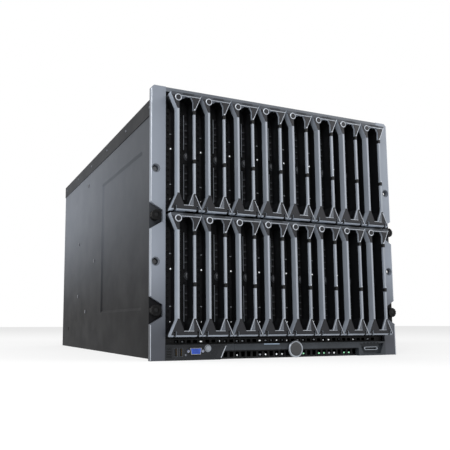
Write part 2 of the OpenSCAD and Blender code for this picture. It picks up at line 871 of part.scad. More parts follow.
// Finger guard: rings on four spokes over the duct's mouth.
module fan_grille(z) {
    wire = 1;
    translate([0, module_y + wire, z]) rotate([90, 0, 0]) {
        for (r = [8 : 9 : duct_r]) rotate_extrude() translate([r, -wire]) square([1.6, 2 * wire]);
        for (a = [0, 90]) rotate([0, 0, a + 45])
            translate([-duct_r - 2, -1, -wire]) cube([2 * duct_r + 4, 2, 2 * wire]);
    }
}

module fan_rotors() {
    blades = 7;
    y = [frame_y - fan_depth + 12 + run_gap, frame_y - fan_depth + 40];
    color("#202226") at_face() for (x = fan_columns, k = [0 : fan_rows - 1])
        translate([x, 0, fan_low + k * fan_pitch + fan_pitch / 2]) {
            rod_y(0, 0, y, motor_r);
            intersection() {
                union() for (b = [0 : blades - 1]) rotate([0, b * 360 / blades, 0])
                    translate([motor_r - 1, (y[0] + y[1]) / 2, 0]) rotate([38, 0, 0])
                        translate([0, -0.9, -16]) cube([duct_r, 1.8, 32]);
                rod_y(0, 0, y, duct_r - 1);
            }
        }
}

module io_modules() {
    color("#3f4247") at_face() for (x = io_columns)
        translate([x, 0, fan_low + rear_gap]) {
            rear_module(io_pitch - 2 * rear_gap, io_height, module_depth);
            // dust covers of the port cages
            for (i = [0 : 7]) block([-8, 8], [module_y, module_y + 2], [46 + i * 26, 60 + i * 26]);
            // ejector levers
            for (z = [8, io_height - 26])
                block([-10, 10], [module_y, module_y + 6], [z, z + 18]);
        }
}

jack = [12.4, 8.6];
jack_depth = 12;
module controllers() {
    color("#3f4247") at_face() for (i = [0 : controller_count - 1])
        translate([controller_x(i), 0, controller_low()]) {
            difference() {
                rear_module(controller_width(), controller_height, module_depth);
                if (i != 1)
                    block([20, 20 + jack[0]], [module_y - jack_depth, module_y + overrun],
                          [14, 14 + jack[1]]);
                for (x = [-50 : 7 : -20], z = [10 : 7 : 26])
                    block([x, x + 4.5], [module_y - 1, module_y + overrun], [z, z + 4.5]);
            }
            rod_y(-60, controller_height / 2, [module_y, module_y + 8], 4);
            rod_y(60, controller_height / 2, [module_y, module_y + 8], 4);
        }
}

// ---------- nodes ----------

base_pan();
left_side_panel();
right_side_panel();
top_cover();
left_rack_ear();
right_rack_ear();
top_trim();
card_cage();
midplane();
intake_grille();
lower_bezel();
badge_disc();
control_panel();
console_ports();
power_button();
display_tray();
display_module();
thumbscrew_upper_left();
thumbscrew_upper_right();
thumbscrew_lower_left();
thumbscrew_lower_right();
case_screws();
rear_frame();
power_supplies();
fan_housings();
fan_rotors();
io_modules();
controllers();
for (r = [0 : bay_rows - 1], c = [0 : bay_cols - 1]) {
    blade(r, c);
    handle(r, c);
}
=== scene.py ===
"""Looks of a rack-mounted blade server chassis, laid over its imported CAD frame.

The chassis stands on a pale floor. Every CAD node keeps its shape and gets a procedural
finish. Fine parts that the solids leave out are worked out here as numpy surfaces.
All lengths are metres, in the frame of the CAD model.
"""
import logging  # noqa: E402
from dataclasses import dataclass, replace  # noqa: E402
from enum import Enum  # noqa: E402
from typing import Sequence  # noqa: E402

import bpy  # noqa: E402
import numpy as np  # noqa: E402
from mathutils import Matrix, Vector  # noqa: E402


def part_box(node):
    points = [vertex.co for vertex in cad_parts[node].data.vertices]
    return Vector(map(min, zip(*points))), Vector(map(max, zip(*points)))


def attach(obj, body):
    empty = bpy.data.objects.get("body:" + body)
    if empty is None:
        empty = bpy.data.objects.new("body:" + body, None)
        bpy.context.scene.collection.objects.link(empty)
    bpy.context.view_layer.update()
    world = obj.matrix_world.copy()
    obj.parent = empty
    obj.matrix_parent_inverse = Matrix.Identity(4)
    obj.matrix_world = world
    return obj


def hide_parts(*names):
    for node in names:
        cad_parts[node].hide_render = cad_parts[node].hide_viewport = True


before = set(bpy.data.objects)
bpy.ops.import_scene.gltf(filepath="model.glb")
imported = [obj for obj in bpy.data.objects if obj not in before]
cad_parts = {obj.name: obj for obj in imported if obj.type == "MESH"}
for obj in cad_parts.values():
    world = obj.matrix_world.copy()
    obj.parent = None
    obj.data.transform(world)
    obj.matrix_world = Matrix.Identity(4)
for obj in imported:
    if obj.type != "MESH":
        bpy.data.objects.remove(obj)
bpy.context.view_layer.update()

log = logging.getLogger("chassis")

Array = np.ndarray
SHARP_ANGLE = np.radians(38)  # edges that turn more than this are shaded sharp
COLUMNS = range(1, 9)
PATCH_RANGE = (0.35, 0.75)  # noise between which the second tone comes in
ROUGH_LEAST, ROUGH_SWING = 0.8, 0.4  # shares of the roughness that stay and that wear adds
BUMP_STRENGTH = 0.6
COAT_ROUGHNESS = 0.25


# ---------- shells: surfaces as functions of two parameters ----------


class Plane(Enum):
    """Plane that an outline lies in; the value is the axes of its u, v and depth."""

    FRONT = (0, 2, 1)
    TOP = (0, 1, 2)


class Row(Enum):
    """Row of blades; the value is its word in the names of nodes."""

    LOWER = "lower"
    UPPER = "upper"


@dataclass(frozen=True)
class Shell:
    """A closed surface: points, the corners of its faces in one run, and each face's size."""

    points: Array
    corners: Array
    sizes: Array

    def moved(self, offset: Sequence[float]) -> "Shell":
        """The same shell, shifted by offset.

        Args:
            offset: Shift along x, y and z.

        Returns:
            The shifted shell.
        """
        return Shell(self.points + np.asarray(offset), self.corners, self.sizes)

    def repeated(self, offsets: Array) -> "Shell":
        """One copy of the shell at each offset.

        Args:
            offsets: One row of x, y and z for each copy.

        Returns:
            All the copies as one shell: point i of copy k is point i plus offset k.
        """
        offsets = np.asarray(offsets, float).reshape(-1, 3)
        count = len(offsets)
        points = (self.points[None] + offsets[:, None]).reshape(-1, 3)
        shift = np.repeat(np.arange(count) * len(self.points), len(self.corners))
        return Shell(points, np.tile(self.corners, count) + shift, np.tile(self.sizes, count))


def joined(shells: Sequence[Shell]) -> Shell:
    """Several shells as one.

    Args:
        shells: The shells, in order.

    Returns:
        One shell whose points follow each other, with the corners counted on.
    """
    starts = np.cumsum([0] + [len(s.points) for s in shells[:-1]])
    return Shell(
        np.concatenate([s.points for s in shells]),
        np.concatenate([s.corners + k for s, k in zip(shells, starts)]),
        np.concatenate([s.sizes for s in shells]),
    )


def loft(rings: Array, closed: bool = False) -> Shell:
    """Skin over a stack of rings with the same number of points.

    Point (i, j) is point j of ring i. Each quad joins (i, j), (i, j+1), (i+1, j+1) and
    (i+1, j); j wraps round. The signed volume of the skin says whether it is turned over.

    Args:
        rings: Array of rings, points and coordinates.
        closed: True joins the last ring to the first; otherwise both ends get a face.

    Returns:
        The shell, with its faces outwards.
    """
    rings = np.asarray(rings, float)
    count, around = rings.shape[:2]
    points = rings.reshape(-1, 3)
    i, j = np.meshgrid(np.arange(count if closed else count - 1), np.arange(around), indexing="ij")
    i_on, j_on = (i + 1) % count, (j + 1) % around
    quads = np.stack([i * around + j, i * around + j_on, i_on * around + j_on, i_on * around + j],
                     axis=-1).reshape(-1, 4)
    faces = [quads]
    if not closed:
        faces += [np.arange(around)[None, ::-1], (np.arange(around) + (count - 1) * around)[None]]
    middle = points.mean(0)
    volume = 0.0
    for group in faces:
        at = points[group] - middle
        fan = np.cross(at[:, 1:-1], at[:, 2:])
        volume += float(np.einsum("fk,fnk->", at[:, 0], fan))
    if volume < 0:
        faces = [group[:, ::-1] for group in faces]
    return Shell(points, np.concatenate([g.reshape(-1) for g in faces]),
                 np.concatenate([np.full(len(g), g.shape[1]) for g in faces]))


def laid(outline: Array, depth: Array | float, plane: Plane) -> Array:
    """Points of a flat outline put into space: u and v on the plane's axes, depth on its third.

    Args:
        outline: Rows of u and v.
        depth: One depth, or one for each row.
        plane: The outline's plane.

    Returns:
        Rows of x, y and z.
    """
    outline = np.asarray(outline, float)
    points = np.empty(outline.shape[:-1] + (3,))
    u, v, w = plane.value
    points[..., u], points[..., v], points[..., w] = outline[..., 0], outline[..., 1], depth
    return points


def inset(outline: Array, by: float) -> Array:
    """Outline drawn in: each corner moves along the mitre of its two edges.

    Args:
        outline: Rows of u and v, anticlockwise.
        by: Distance that each edge moves inwards; negative moves it out.

    Returns:
        The new rows of u and v.
    """
    outline = np.asarray(outline, float)
    edge = np.roll(outline, -1, axis=0) - outline
    edge /= np.linalg.norm(edge, axis=1)[:, None]
    normal = np.stack([edge[:, 1], -edge[:, 0]], axis=1)
    before = np.roll(normal, 1, axis=0)
    reach = np.maximum(1 + (normal * before).sum(1), 0.25)
    return outline - by * (normal + before) / reach[:, None]


def oblong(width: float, height: float, radius: float, steps: int = 3) -> Array:
    """Rectangle about (0, 0) with round corners: quarter circles about the four corner centres.

    Args:
        width: Full width, along u.
        height: Full height, along v.
        radius: Corner radius.
        steps: Points in each quarter circle.

    Returns:
        Rows of u and v, anticlockwise.
    """
    turn = np.linspace(0, np.pi / 2, steps)[None] + np.arange(4)[:, None] * np.pi / 2
    sign = np.array([[1, 1], [-1, 1], [-1, -1], [1, -1]])
    centre = sign * np.array([width / 2 - radius, height / 2 - radius])
    arc = radius * np.stack([np.cos(turn), np.sin(turn)], axis=-1)
    return (centre[:, None] + arc).reshape(-1, 2)


def circle(radius: float, sides: int = 16) -> Array:
    """Circle about (0, 0), as rows of radius times the cosine and sine of even turns.

    Args:
        radius: Radius.
        sides: Points round.

    Returns:
        Rows of u and v, anticlockwise.
    """
    turn = np.arange(sides) * 2 * np.pi / sides
    return radius * np.stack([np.cos(turn), np.sin(turn)], axis=1)


def slab(outline: Array, span: tuple[float, float], edge: float,
         plane: Plane = Plane.FRONT) -> Shell:
    """Outline carried along its plane's normal, with both ends bevelled.

    The outline is drawn in by the edge at each end and reaches its full size one edge
    further in.

    Args:
        outline: Rows of u and v, anticlockwise.
        span: Lowest and highest depth.
        edge: Size of the bevel.
        plane: The outline's plane.

    Returns:
        The shell.
    """
    small, low, high = inset(outline, edge), span[0], span[1]
    return loft(np.stack([laid(small, low, plane), laid(outline, low + edge, plane),
                          laid(outline, high - edge, plane), laid(small, high, plane)]))


def border(outer: Array, inner: Array, span: tuple[float, float], edge: float,
           plane: Plane = Plane.FRONT) -> Shell:
    """Frame between two outlines with as many points, bevelled at both ends.

    Args:
        outer: Rows of the outer outline, anticlockwise.
        inner: Rows of the opening, anticlockwise.
        span: Lowest and highest depth.
        edge: Size of the bevel.
        plane: The outlines' plane.

    Returns:
        The shell: eight rings, the last joined to the first.
    """
    low, high = span
    small, wide = inset(outer, edge), inset(inner, -edge)
    return loft(np.stack([
        laid(outer, low + edge, plane), laid(outer, high - edge, plane), laid(small, high, plane),
        laid(wide, high, plane), laid(inner, high - edge, plane), laid(inner, low + edge, plane),
        laid(wide, low, plane), laid(small, low, plane)]), closed=True)


def turned(profile: Sequence[tuple[float, float]], centre: Sequence[float], axis: int,
           sides: int = 20, closed: bool = False) -> Shell:
    """Profile of radius and height spun about an axis: each ring is a circle at its height.

    Args:
        profile: Pairs of radius and distance along the axis.
        centre: Point that heights are measured from.
        axis: 0, 1 or 2 for X, Y or Z.
        sides: Points round.
        closed: True joins the last ring to the first; otherwise both ends are flat.

    Returns:
        The shell.
    """
    steps = np.asarray(profile, float)
    turn = np.arange(sides) * 2 * np.pi / sides
    points = np.empty((len(steps), sides, 3))
    points[..., (axis + 1) % 3] = steps[:, :1] * np.cos(turn)
    points[..., (axis + 2) % 3] = steps[:, :1] * np.sin(turn)
    points[..., axis] = steps[:, 1:]
    return loft(points + np.asarray(centre, float), closed=closed)


def hoop(profile: Array, centre: Sequence[float], axis: int, sides: int = 32) -> Shell:
    """Closed profile of radius and height spun about an axis, such as a wire ring or a collar.

    Args:
        profile: Closed rows of radius and distance along the axis.
        centre: Point that heights are measured from.
        axis: 0, 1 or 2 for X, Y or Z.
        sides: Points round.

    Returns:
        The shell, closed both ways.
    """
    return turned(profile, centre, axis, sides, closed=True)


def carried(section: Array, path: Array, normal: Sequence[float], closed: bool = False) -> Shell:
    """Section carried along a flat path.

    Ring i is the section about path point i: u along the side of the path, which is its
    tangent crossed with the normal, and v along the normal.

    Args:
        section: Rows of u and v.
        path: Rows of x, y and z.
        normal: Unit normal of the path's plane.
        closed: True where the path returns to its start.

    Returns:
        The shell.
    """
    path, up = np.asarray(path, float), np.asarray(normal, float)
    if closed:
        along = np.roll(path, -1, axis=0) - np.roll(path, 1, axis=0)
    else:
        along = np.gradient(path, axis=0)
    along /= np.linalg.norm(along, axis=1)[:, None]
    side = np.cross(along, up)
    rings = (path[:, None] + side[:, None] * section[None, :, :1] + up * section[None, :, 1:])
    return loft(rings, closed=closed)


def grid(*spans: Sequence[float]) -> Array:
    """Every combination of the places on the three axes, as rows of x, y and z.

    Args:
        *spans: Places along x, y and z.

    Returns:
        One row for each combination.
    """
    x, y, z = np.meshgrid(*[np.asarray(s, float) for s in spans], indexing="ij")
    return np.stack([x.ravel(), y.ravel(), z.ravel()], axis=1)


# ---------- shader maths ----------


class Value:
    """A socket that takes part in sums; each operator adds a Math node."""

    def __init__(self, shader: "Shader", socket: bpy.types.NodeSocket) -> None:
        """Wraps a socket of a shader's tree.

        Args:
            shader: The tree that the socket is in.
            socket: The socket.
        """
        self.shader, self.socket = shader, socket

    def _sum(self, operation: str, first: "Value | float", second: "Value | float") -> "Value":
        """Math node of two values.

        Args:
            operation: The node's operation.
            first: First input.
            second: Second input.

        Returns:
            The node's result.
        """
        return self.shader.node("ShaderNodeMath", {"operation": operation}, {0: first, 1: second})

    def __add__(self, other: "Value | float") -> "Value":
        """Sum.

        Args:
            other: The other input.

        Returns:
            The node's result.
        """
        return self._sum("ADD", self, other)

    def __radd__(self, other: float) -> "Value":
        """Sum, the number first.

        Args:
            other: The other input.

        Returns:
            The node's result.
        """
        return self._sum("ADD", other, self)

    def __sub__(self, other: "Value | float") -> "Value":
        """Difference.

        Args:
            other: The other input.

        Returns:
            The node's result.
        """
        return self._sum("SUBTRACT", self, other)

    def __rsub__(self, other: float) -> "Value":
        """Difference, the number first.

        Args:
            other: The other input.

        Returns:
            The node's result.
        """
        return self._sum("SUBTRACT", other, self)

    def __mul__(self, other: "Value | float") -> "Value":
        """Product.

        Args:
            other: The other input.

        Returns:
            The node's result.
        """
        return self._sum("MULTIPLY", self, other)

    def __rmul__(self, other: float) -> "Value":
        """Product, the number first.

        Args:
            other: The other input.

        Returns:
            The node's result.
        """
        return self._sum("MULTIPLY", other, self)

    def __lt__(self, other: "Value | float") -> "Value":
        """One where this value is below the other, and nought elsewhere.

        Args:
            other: The other input.

        Returns:
            The node's result.
        """
        return self._sum("LESS_THAN", self, other)

    def cell_share(self, pitch: float) -> "Value":
        """Share of the way across its cell, from nought to one, in cells of the pitch.

        Args:
            pitch: Width of a cell.

        Returns:
            The share.
        """
        return self.shader.node("ShaderNodeMath", {"operation": "FRACT"},
                                {0: self * (1 / pitch)})

    def eased(self, start: float, end: float) -> "Value":
        """Nought before start, one after end, and a smooth step between.

        Args:
            start: Value that gives nought.
            end: Value that gives one.

        Returns:
            The eased value.
        """
        return self.shader.node("ShaderNodeMapRange", {"interpolation_type": "SMOOTHSTEP"},
                                {"Value": self, "From Min": start, "From Max": end})


class Shader:
    """The node tree of one material or world."""

    def __init__(self, owner: bpy.types.Material | bpy.types.World) -> None:
        """Empties the owner's tree.

        Args:
            owner: The material or world.
        """
        owner.use_nodes = True
        self.owner, self.tree = owner, owner.node_tree
        self.tree.nodes.clear()

    def node(self, kind: str, settings: dict | None = None, sockets: dict | None = None,
             output: int | str = 0) -> Value:
        """Adds any node: its settings first, then its sockets.

        Args:
            kind: The node's type.
            settings: Properties by name; "stops" holds a ramp's positions and colours.
            sockets: Numbers, colours or Values by socket name or index.
            output: Which output to return.

        Returns:
            The chosen output as a Value.
        """
        made = self.tree.nodes.new(kind)
        for name, setting in (settings or {}).items():
            if name == "stops":
                ramp = made.color_ramp.elements
                while len(ramp) < len(setting):
                    ramp.new(1.0)
                for element, (position, colour) in zip(ramp, setting):
                    element.position, element.color = position, colour
            else:
                setattr(made, name, setting)
        for name, feed in (sockets or {}).items():
            if isinstance(feed, Value):
                self.tree.links.new(feed.socket, made.inputs[name])
            else:
                made.inputs[name].default_value = feed
        return Value(self, made.outputs[output]) if made.outputs else Value(self, made.inputs[0])

    def place(self, stretch: Sequence[float] = (1, 1, 1)) -> Value:
        """Object coordinates, each axis multiplied by its stretch.

        Args:
            stretch: Factor of each axis.

        Returns:
            The place, as a vector.
        """
        at = self.node("ShaderNodeTexCoord", output="Object")
        return self.node("ShaderNodeMapping", {}, {"Vector": at, "Scale": tuple(stretch)})

    def along(self, axis: str) -> Value:
        """One object coordinate, by its letter.

        Args:
            axis: X, Y or Z.

        Returns:
            The coordinate, in metres.
        """
        return self.node("ShaderNodeSeparateXYZ", {}, {0: self.place()}, output=axis)

    def noise(self, size: float, stretch: Sequence[float] = (1, 1, 1), detail: float = 2.0) -> Value:
        """Noise from 0 to 1 with features about size metres across.

        Args:
            size: Size of a feature.
            stretch: Factor of each axis.
            detail: Levels of finer noise.

        Returns:
            The noise.
        """
        return self.node("ShaderNodeTexNoise", {},
                         {"Vector": self.place(stretch), "Scale": 1 / size, "Detail": detail})

    def mixed(self, share: Value | float, first: "Value | tuple", second: "Value | tuple") -> Value:
        """Colour between first, at share 0, and second, at share 1.

        Args:
            share: Share of the second colour.
            first: Colour at share 0.
            second: Colour at share 1.

        Returns:
            The mixed colour.
        """
        return self.node("ShaderNodeMix", {"data_type": "RGBA"},
                         {0: share, 6: first, 7: second}, output=2)


def linear(tone: str) -> tuple[float, float, float, float]:
    """Linear colour of a hexadecimal tone, by the standard curve.

    Args:
        tone: Six hexadecimal digits after a hash sign.

    Returns:
        Red, green, blue and 1.
    """
    parts = np.array([int(tone[k:k + 2], 16) for k in (1, 3, 5)]) / 255
    curve = np.where(parts <= 0.04045, parts / 12.92, ((parts + 0.055) / 1.055) ** 2.4)
    return (*curve.tolist(), 1.0)


# ---------- finishes ----------


@dataclass(frozen=True)
class Finish:
    """Two tones of one material, mottled, with a fine relief on it."""

    name: str
    tone: str
    second: str
    roughness: float = 0.5
    metallic: float = 0.0
    mottle: float = 0.05
    share: float = 0.6
    grain: float = 0.0008
    relief: float = 0.00002
    stretch: tuple[float, float, float] = (1.0, 1.0, 1.0)
    coat: float = 0.0
    glow: float = 0.0
    gleam: float = 0.5

    def colour(self, shader: Shader) -> Value:
        """Mottled base colour, the second tone showing in soft patches.

        Args:
            shader: The material's tree.

        Returns:
            The colour.
        """
        patches = shader.noise(self.mottle, self.stretch, 4.0).eased(*PATCH_RANGE) * self.share
        return shader.mixed(patches, linear(self.tone), linear(self.second))

    def material(self) -> bpy.types.Material:
        """The material, made once and kept by its name.

        Returns:
            The material with its tree: colour, roughness, relief and shine.
        """
        kept = bpy.data.materials.get(self.name)
        if kept is not None:
            return kept
        shader = Shader(bpy.data.materials.new(self.name))
        grain = shader.noise(self.grain, self.stretch, 2.0)
        wear = shader.noise(self.mottle * 0.4, self.stretch, 5.0)
        colour = self.colour(shader)
        bump = shader.node("ShaderNodeBump", {},
                           {"Height": grain, "Distance": self.relief, "Strength": BUMP_STRENGTH})
        sockets = {"Base Color": colour, "Metallic": self.metallic, "Normal": bump,
                   "Roughness": (self.roughness * ROUGH_LEAST
                                 + wear * (self.roughness * ROUGH_SWING)),
                   "Coat Weight": self.coat, "Coat Roughness": COAT_ROUGHNESS,
                   "Specular IOR Level": self.gleam}
        if self.glow:
            sockets |= {"Emission Color": colour, "Emission Strength": self.glow}
        surface = shader.node("ShaderNodeBsdfPrincipled", {}, sockets)
        shader.node("ShaderNodeOutputMaterial", {}, {"Surface": surface})
        return shader.owner


@dataclass(frozen=True)
class SplitFinish(Finish):
    """A finish that turns to another tone on the low side of a plane across one axis."""

    other: str = "#d0d4da"
    axis: str = "Y"
    below: float = 0.0

    def colour(self, shader: Shader) -> Value:
        """The mottled colour, and the other tone below the plane.

        Args:
            shader: The material's tree.

        Returns:
            The colour.
        """
        side = shader.along(self.axis) < self.below
        return shader.mixed(side, super().colour(shader), linear(self.other))


@dataclass(frozen=True)
class HandleFinish(Finish):
    """Alloy edges in front of a black moulding, with a painted highlight along the front of the
    rails.
    """

    black: str = "#0d0e10"
    dark: str = "#1b1c20"
    rail_highlight: str = "#a3aab4"
    bar: str = "#3b3f45"
    front: float = 0.0
    deep: tuple[float, float] = (0.012, 0.004)
    cell: float = 0.054
    skin: float = 0.0004
    foot_end: float = 0.0
    head_start: float = 0.0
    bar_start: float = 0.0

    def colour(self, shader: Shader) -> Value:
        """Black at the back, alloy to the rail's depth, and a tone for each front stretch.

        The alloy reaches deeper on the left half of each cell than on the right.

        Args:
            shader: The material's tree.

        Returns:
            The colour.
        """
        depth = shader.along("Y") - self.front
        right = 1 - (shader.along("X").cell_share(self.cell) < 0.5)
        back = 1 - (depth + right * (self.deep[0] - self.deep[1]) < self.deep[0])
        front, height = depth < self.skin, shader.along("Z")
        # Painted highlight: the rails' front faces between the foot and head flares get a bright
        # streaked tone.
        rails = front * ((height < self.head_start) - (height < self.foot_end))
        bars = front * (1 - (height < self.bar_start))
        streaks = shader.noise(0.02, (1, 1, 0.2), 3.0) * 0.4 + 0.55
        sides = shader.mixed(back, super().colour(shader), linear(self.black))
        plain = shader.mixed(front, sides, linear(self.dark))
        ended = shader.mixed(bars, plain, linear(self.bar))
        return shader.mixed(rails * streaks, ended, linear(self.rail_highlight))


@dataclass(frozen=True)
class SideFinish(Finish):
    """Enamel of the case sides with a painted reflection: a paler tone in a soft band towards the
    upper rear.
    """

    reflection_tone: str = "#707378"
    rear: tuple[float, float] = (0.0, 1.0)
    height: tuple[float, float, float] = (0.0, 0.5, 1.0)
    most: float = 1.0

    def colour(self, shader: Shader) -> Value:
        """The mottled colour, with a painted reflection: its paler tone grows rearwards and swells
        at mid height.

        Args:
            shader: The material's tree.

        Returns:
            The colour.
        """
        low, middle, high = self.height
        rise = shader.along("Z").eased(low, middle)
        fall = 1 - shader.along("Z").eased(middle, high) * 0.7
        back = shader.along("Y").eased(*self.rear) * 0.65 + 0.35
        return shader.mixed(rise * fall * back * self.most, super().colour(shader),
                            linear(self.reflection_tone))


ENAMEL = Finish("charcoal_enamel", "#141518", "#1b1c1f", 0.6, mottle=0.11, grain=0.0011,
                gleam=0.2)
CAGE = Finish("cage_steel", "#0e0f11", "#17181a", 0.5, 0.2, mottle=0.03, share=0.8, gleam=0.2)
FRAME = Finish("rear_frame_steel", "#34363b", "#43464c", 0.45, 0.6, mottle=0.03, share=0.8)
TRIM = Finish("trim_plastic", "#4d525a", "#5a6068", 0.45, mottle=0.05)
BLADE = Finish("blade_enamel", "#0c0d0f", "#17181b", 0.55, mottle=0.02, gleam=0.2)
CARRIER = Finish("carrier_plastic", "#3a3d42", "#4a4d53", 0.45, mottle=0.01)
ALLOY = Finish("handle_alloy", "#8f97a2", "#a2aab5", 0.42, 0.1, mottle=0.03,
               stretch=(1, 1, 0.35))
BEZEL = Finish("bezel_plastic", "#2f3338", "#393e44", 0.5, mottle=0.04, gleam=0.3)
GRILLE = Finish("grille_enamel", "#0d0e10", "#161719", 0.55, mottle=0.02, gleam=0.2)
DARK = Finish("dark_plastic", "#0a0b0c", "#131416", 0.55, mottle=0.02, gleam=0.2)
CONTROL = Finish("control_block_plastic", "#1b1d20", "#26282c", 0.5, mottle=0.02, gleam=0.25)
NICKEL = Finish("nickel_plate", "#a4a8ae", "#c6c9ce", 0.3, 0.85, mottle=0.01)
GOLD = Finish("gold_contact", "#b98f3c", "#d8b668", 0.3, 0.9, mottle=0.004)
BOARD = Finish("board_lacquer", "#16352a", "#20493a", 0.4, mottle=0.02, coat=0.3)
RUBBER = Finish("knob_rubber", "#060607", "#0d0d0f", 0.6, mottle=0.006, gleam=0.15)
SCREW = Finish("zinc_screw", "#5d6067", "#7d8087", 0.35, 0.8, mottle=0.006)
MODULE = Finish("module_steel", "#4a4d53", "#5e6268", 0.42, 0.6, mottle=0.04, share=0.8)
ROTOR = Finish("rotor_plastic", "#16171a", "#222427", 0.42, mottle=0.02)
# Glowing lenses: status lights on the blades and rear modules, and painted highlights in the front
# grille and the blade air holes.
WHITE_LED_AND_GLINT = Finish("white_led_and_painted_glint", "#e6ebee", "#ffffff", 0.3, mottle=0.003, glow=0.55)
DIM_LED_AND_GLINT = Finish("dim_led_and_painted_glint", "#8b9096", "#aab0b6", 0.3, mottle=0.003, glow=0.12)
GREEN_LED_AND_GLINT = Finish("green_led_and_painted_glint", "#7fd6a0", "#c9f2d6", 0.3, mottle=0.003, glow=0.4)
BLUE_STRIP = Finish("pale_blue_strip", "#8fa3b8", "#a9bccf", 0.35, mottle=0.006, glow=0.1)
SILVER = Finish("satin_silver", "#8d939b", "#a6acb4", 0.33, 0.6, mottle=0.02)
# Painted highlight: bright beads along edges of the ears, handles, badge and control block, and the
# handles' collars and dots.
EDGE_HIGHLIGHT = Finish("painted_edge_highlight", "#b3b9c2", "#ced3da", 0.35, 0.4, mottle=0.02)
GLASS = Finish("display_glass", "#0b0f14", "#10161c", 0.12, mottle=0.03, coat=0.8)


# ---------- pieces ----------


class Piece:
    """One named object, gathered from shells of several finishes."""

    def __init__(self, name: str, body: str, slot: str) -> None:
        """Starts an empty piece.

        Args:
            name: The object's name.
            body: The CAD body that it rides on.
            slot: Name of a material slot, kept on the piece and not used.
        """
        self.name, self.body, self.slot = name, body, slot
        self.parts: list[tuple[Finish, Shell]] = []

    def add(self, finish: Finish, *shells: Shell) -> "Piece":
        """Adds shells of one finish.

        Args:
            finish: Their finish.
            *shells: The shells.

        Returns:
            The piece itself.
        """
        self.parts.append((finish, joined(shells)))
        return self

    def spread(self, places: Array, *parts: tuple[Finish, Shell]) -> "Piece":
        """Adds shells with a copy of each at every place.

        Args:
            places: Rows of x, y and z.
            *parts: Pairs of a finish and a shell.

        Returns:
            The piece itself.
        """
        for finish, shell in parts:
            self.add(finish, shell.repeated(places))
        return self

    def build(self, origin: Sequence[float] = (0, 0, 0)) -> bpy.types.Object:
        """Writes the mesh and puts the piece on its body.

        Args:
            origin: Point of the frame that the shells were measured from.

        Returns:
            The new object, at the frame's origin, with its place in its mesh.
        """
        whole = joined([shell for _, shell in self.parts]).moved(origin)
        finishes = list(dict.fromkeys(finish for finish, _ in self.parts))
        index = np.concatenate([np.full(len(shell.sizes), finishes.index(finish))
                                for finish, shell in self.parts])
        mesh = bpy.data.meshes.new(self.name)
        mesh.vertices.add(len(whole.points))
        mesh.vertices.foreach_set("co", whole.points.astype(np.float32).ravel())
        mesh.loops.add(len(whole.corners))
        mesh.loops.foreach_set("vertex_index", whole.corners.astype(np.int32))
        mesh.polygons.add(len(whole.sizes))
        starts = np.concatenate([[0], np.cumsum(whole.sizes)[:-1]])
        mesh.polygons.foreach_set("loop_start", starts.astype(np.int32))
        for finish in finishes:
            mesh.materials.append(finish.material())
        mesh.polygons.foreach_set("material_index", index.astype(np.int32))
        mesh.polygons.foreach_set("use_smooth", np.ones(len(whole.sizes), bool))
        mesh.update(calc_edges=True)
        mesh.set_sharp_from_angle(angle=SHARP_ANGLE)
        made = bpy.data.objects.new(self.name, mesh)
        bpy.context.scene.collection.objects.link(made)
        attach(made, self.body)
        log.info("%s: %d faces", self.name, len(whole.sizes))
        return made


def dress(node: str, finish: Finish) -> None:
    """Gives a CAD node a finish on every material slot.

    Args:
        node: The node's name.
        finish: Its finish.
    """
    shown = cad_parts[node]
    if not shown.material_slots:
        shown.data.materials.append(finish.material())
    for held in shown.material_slots:
        held.material = finish.material()


def screw_head(centre: Sequence[float], axis: int, out: float, radius: float) -> Shell:
    """Pan head with a hexagon socket: a low dome over a short rim, its middle sunk.

    Args:
        centre: Middle of the head's seat.
        axis: Axis that the screw lies along.
        out: 1 or -1, the way that the head faces.
        radius: Radius of the head.

    Returns:
        The shell.
    """
    steps = [(1.0, 0.0), (1.0, 0.25), (0.86, 0.45), (0.5, 0.58), (0.46, 0.56), (0.4, 0.2)]
    return turned([(radius * r, out * radius * h) for r, h in steps], centre, axis, 18)


def rear_light(radius: float, tip: float) -> Shell:
    """Small lens that bulges rearwards: a short rim, then a cone to a flat tip.

    Args:
        radius: Radius of the rim.
        tip: Radius of the tip, and its height.

    Returns:
        The shell, about (0, 0, 0).
    """
    return turned([(radius, -0.0002), (radius, 0.0004), (tip, tip)], (0, 0, 0), 1, 12)


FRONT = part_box("left_rack_ear")[0].y
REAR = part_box("io_modules")[1].y - 0.006


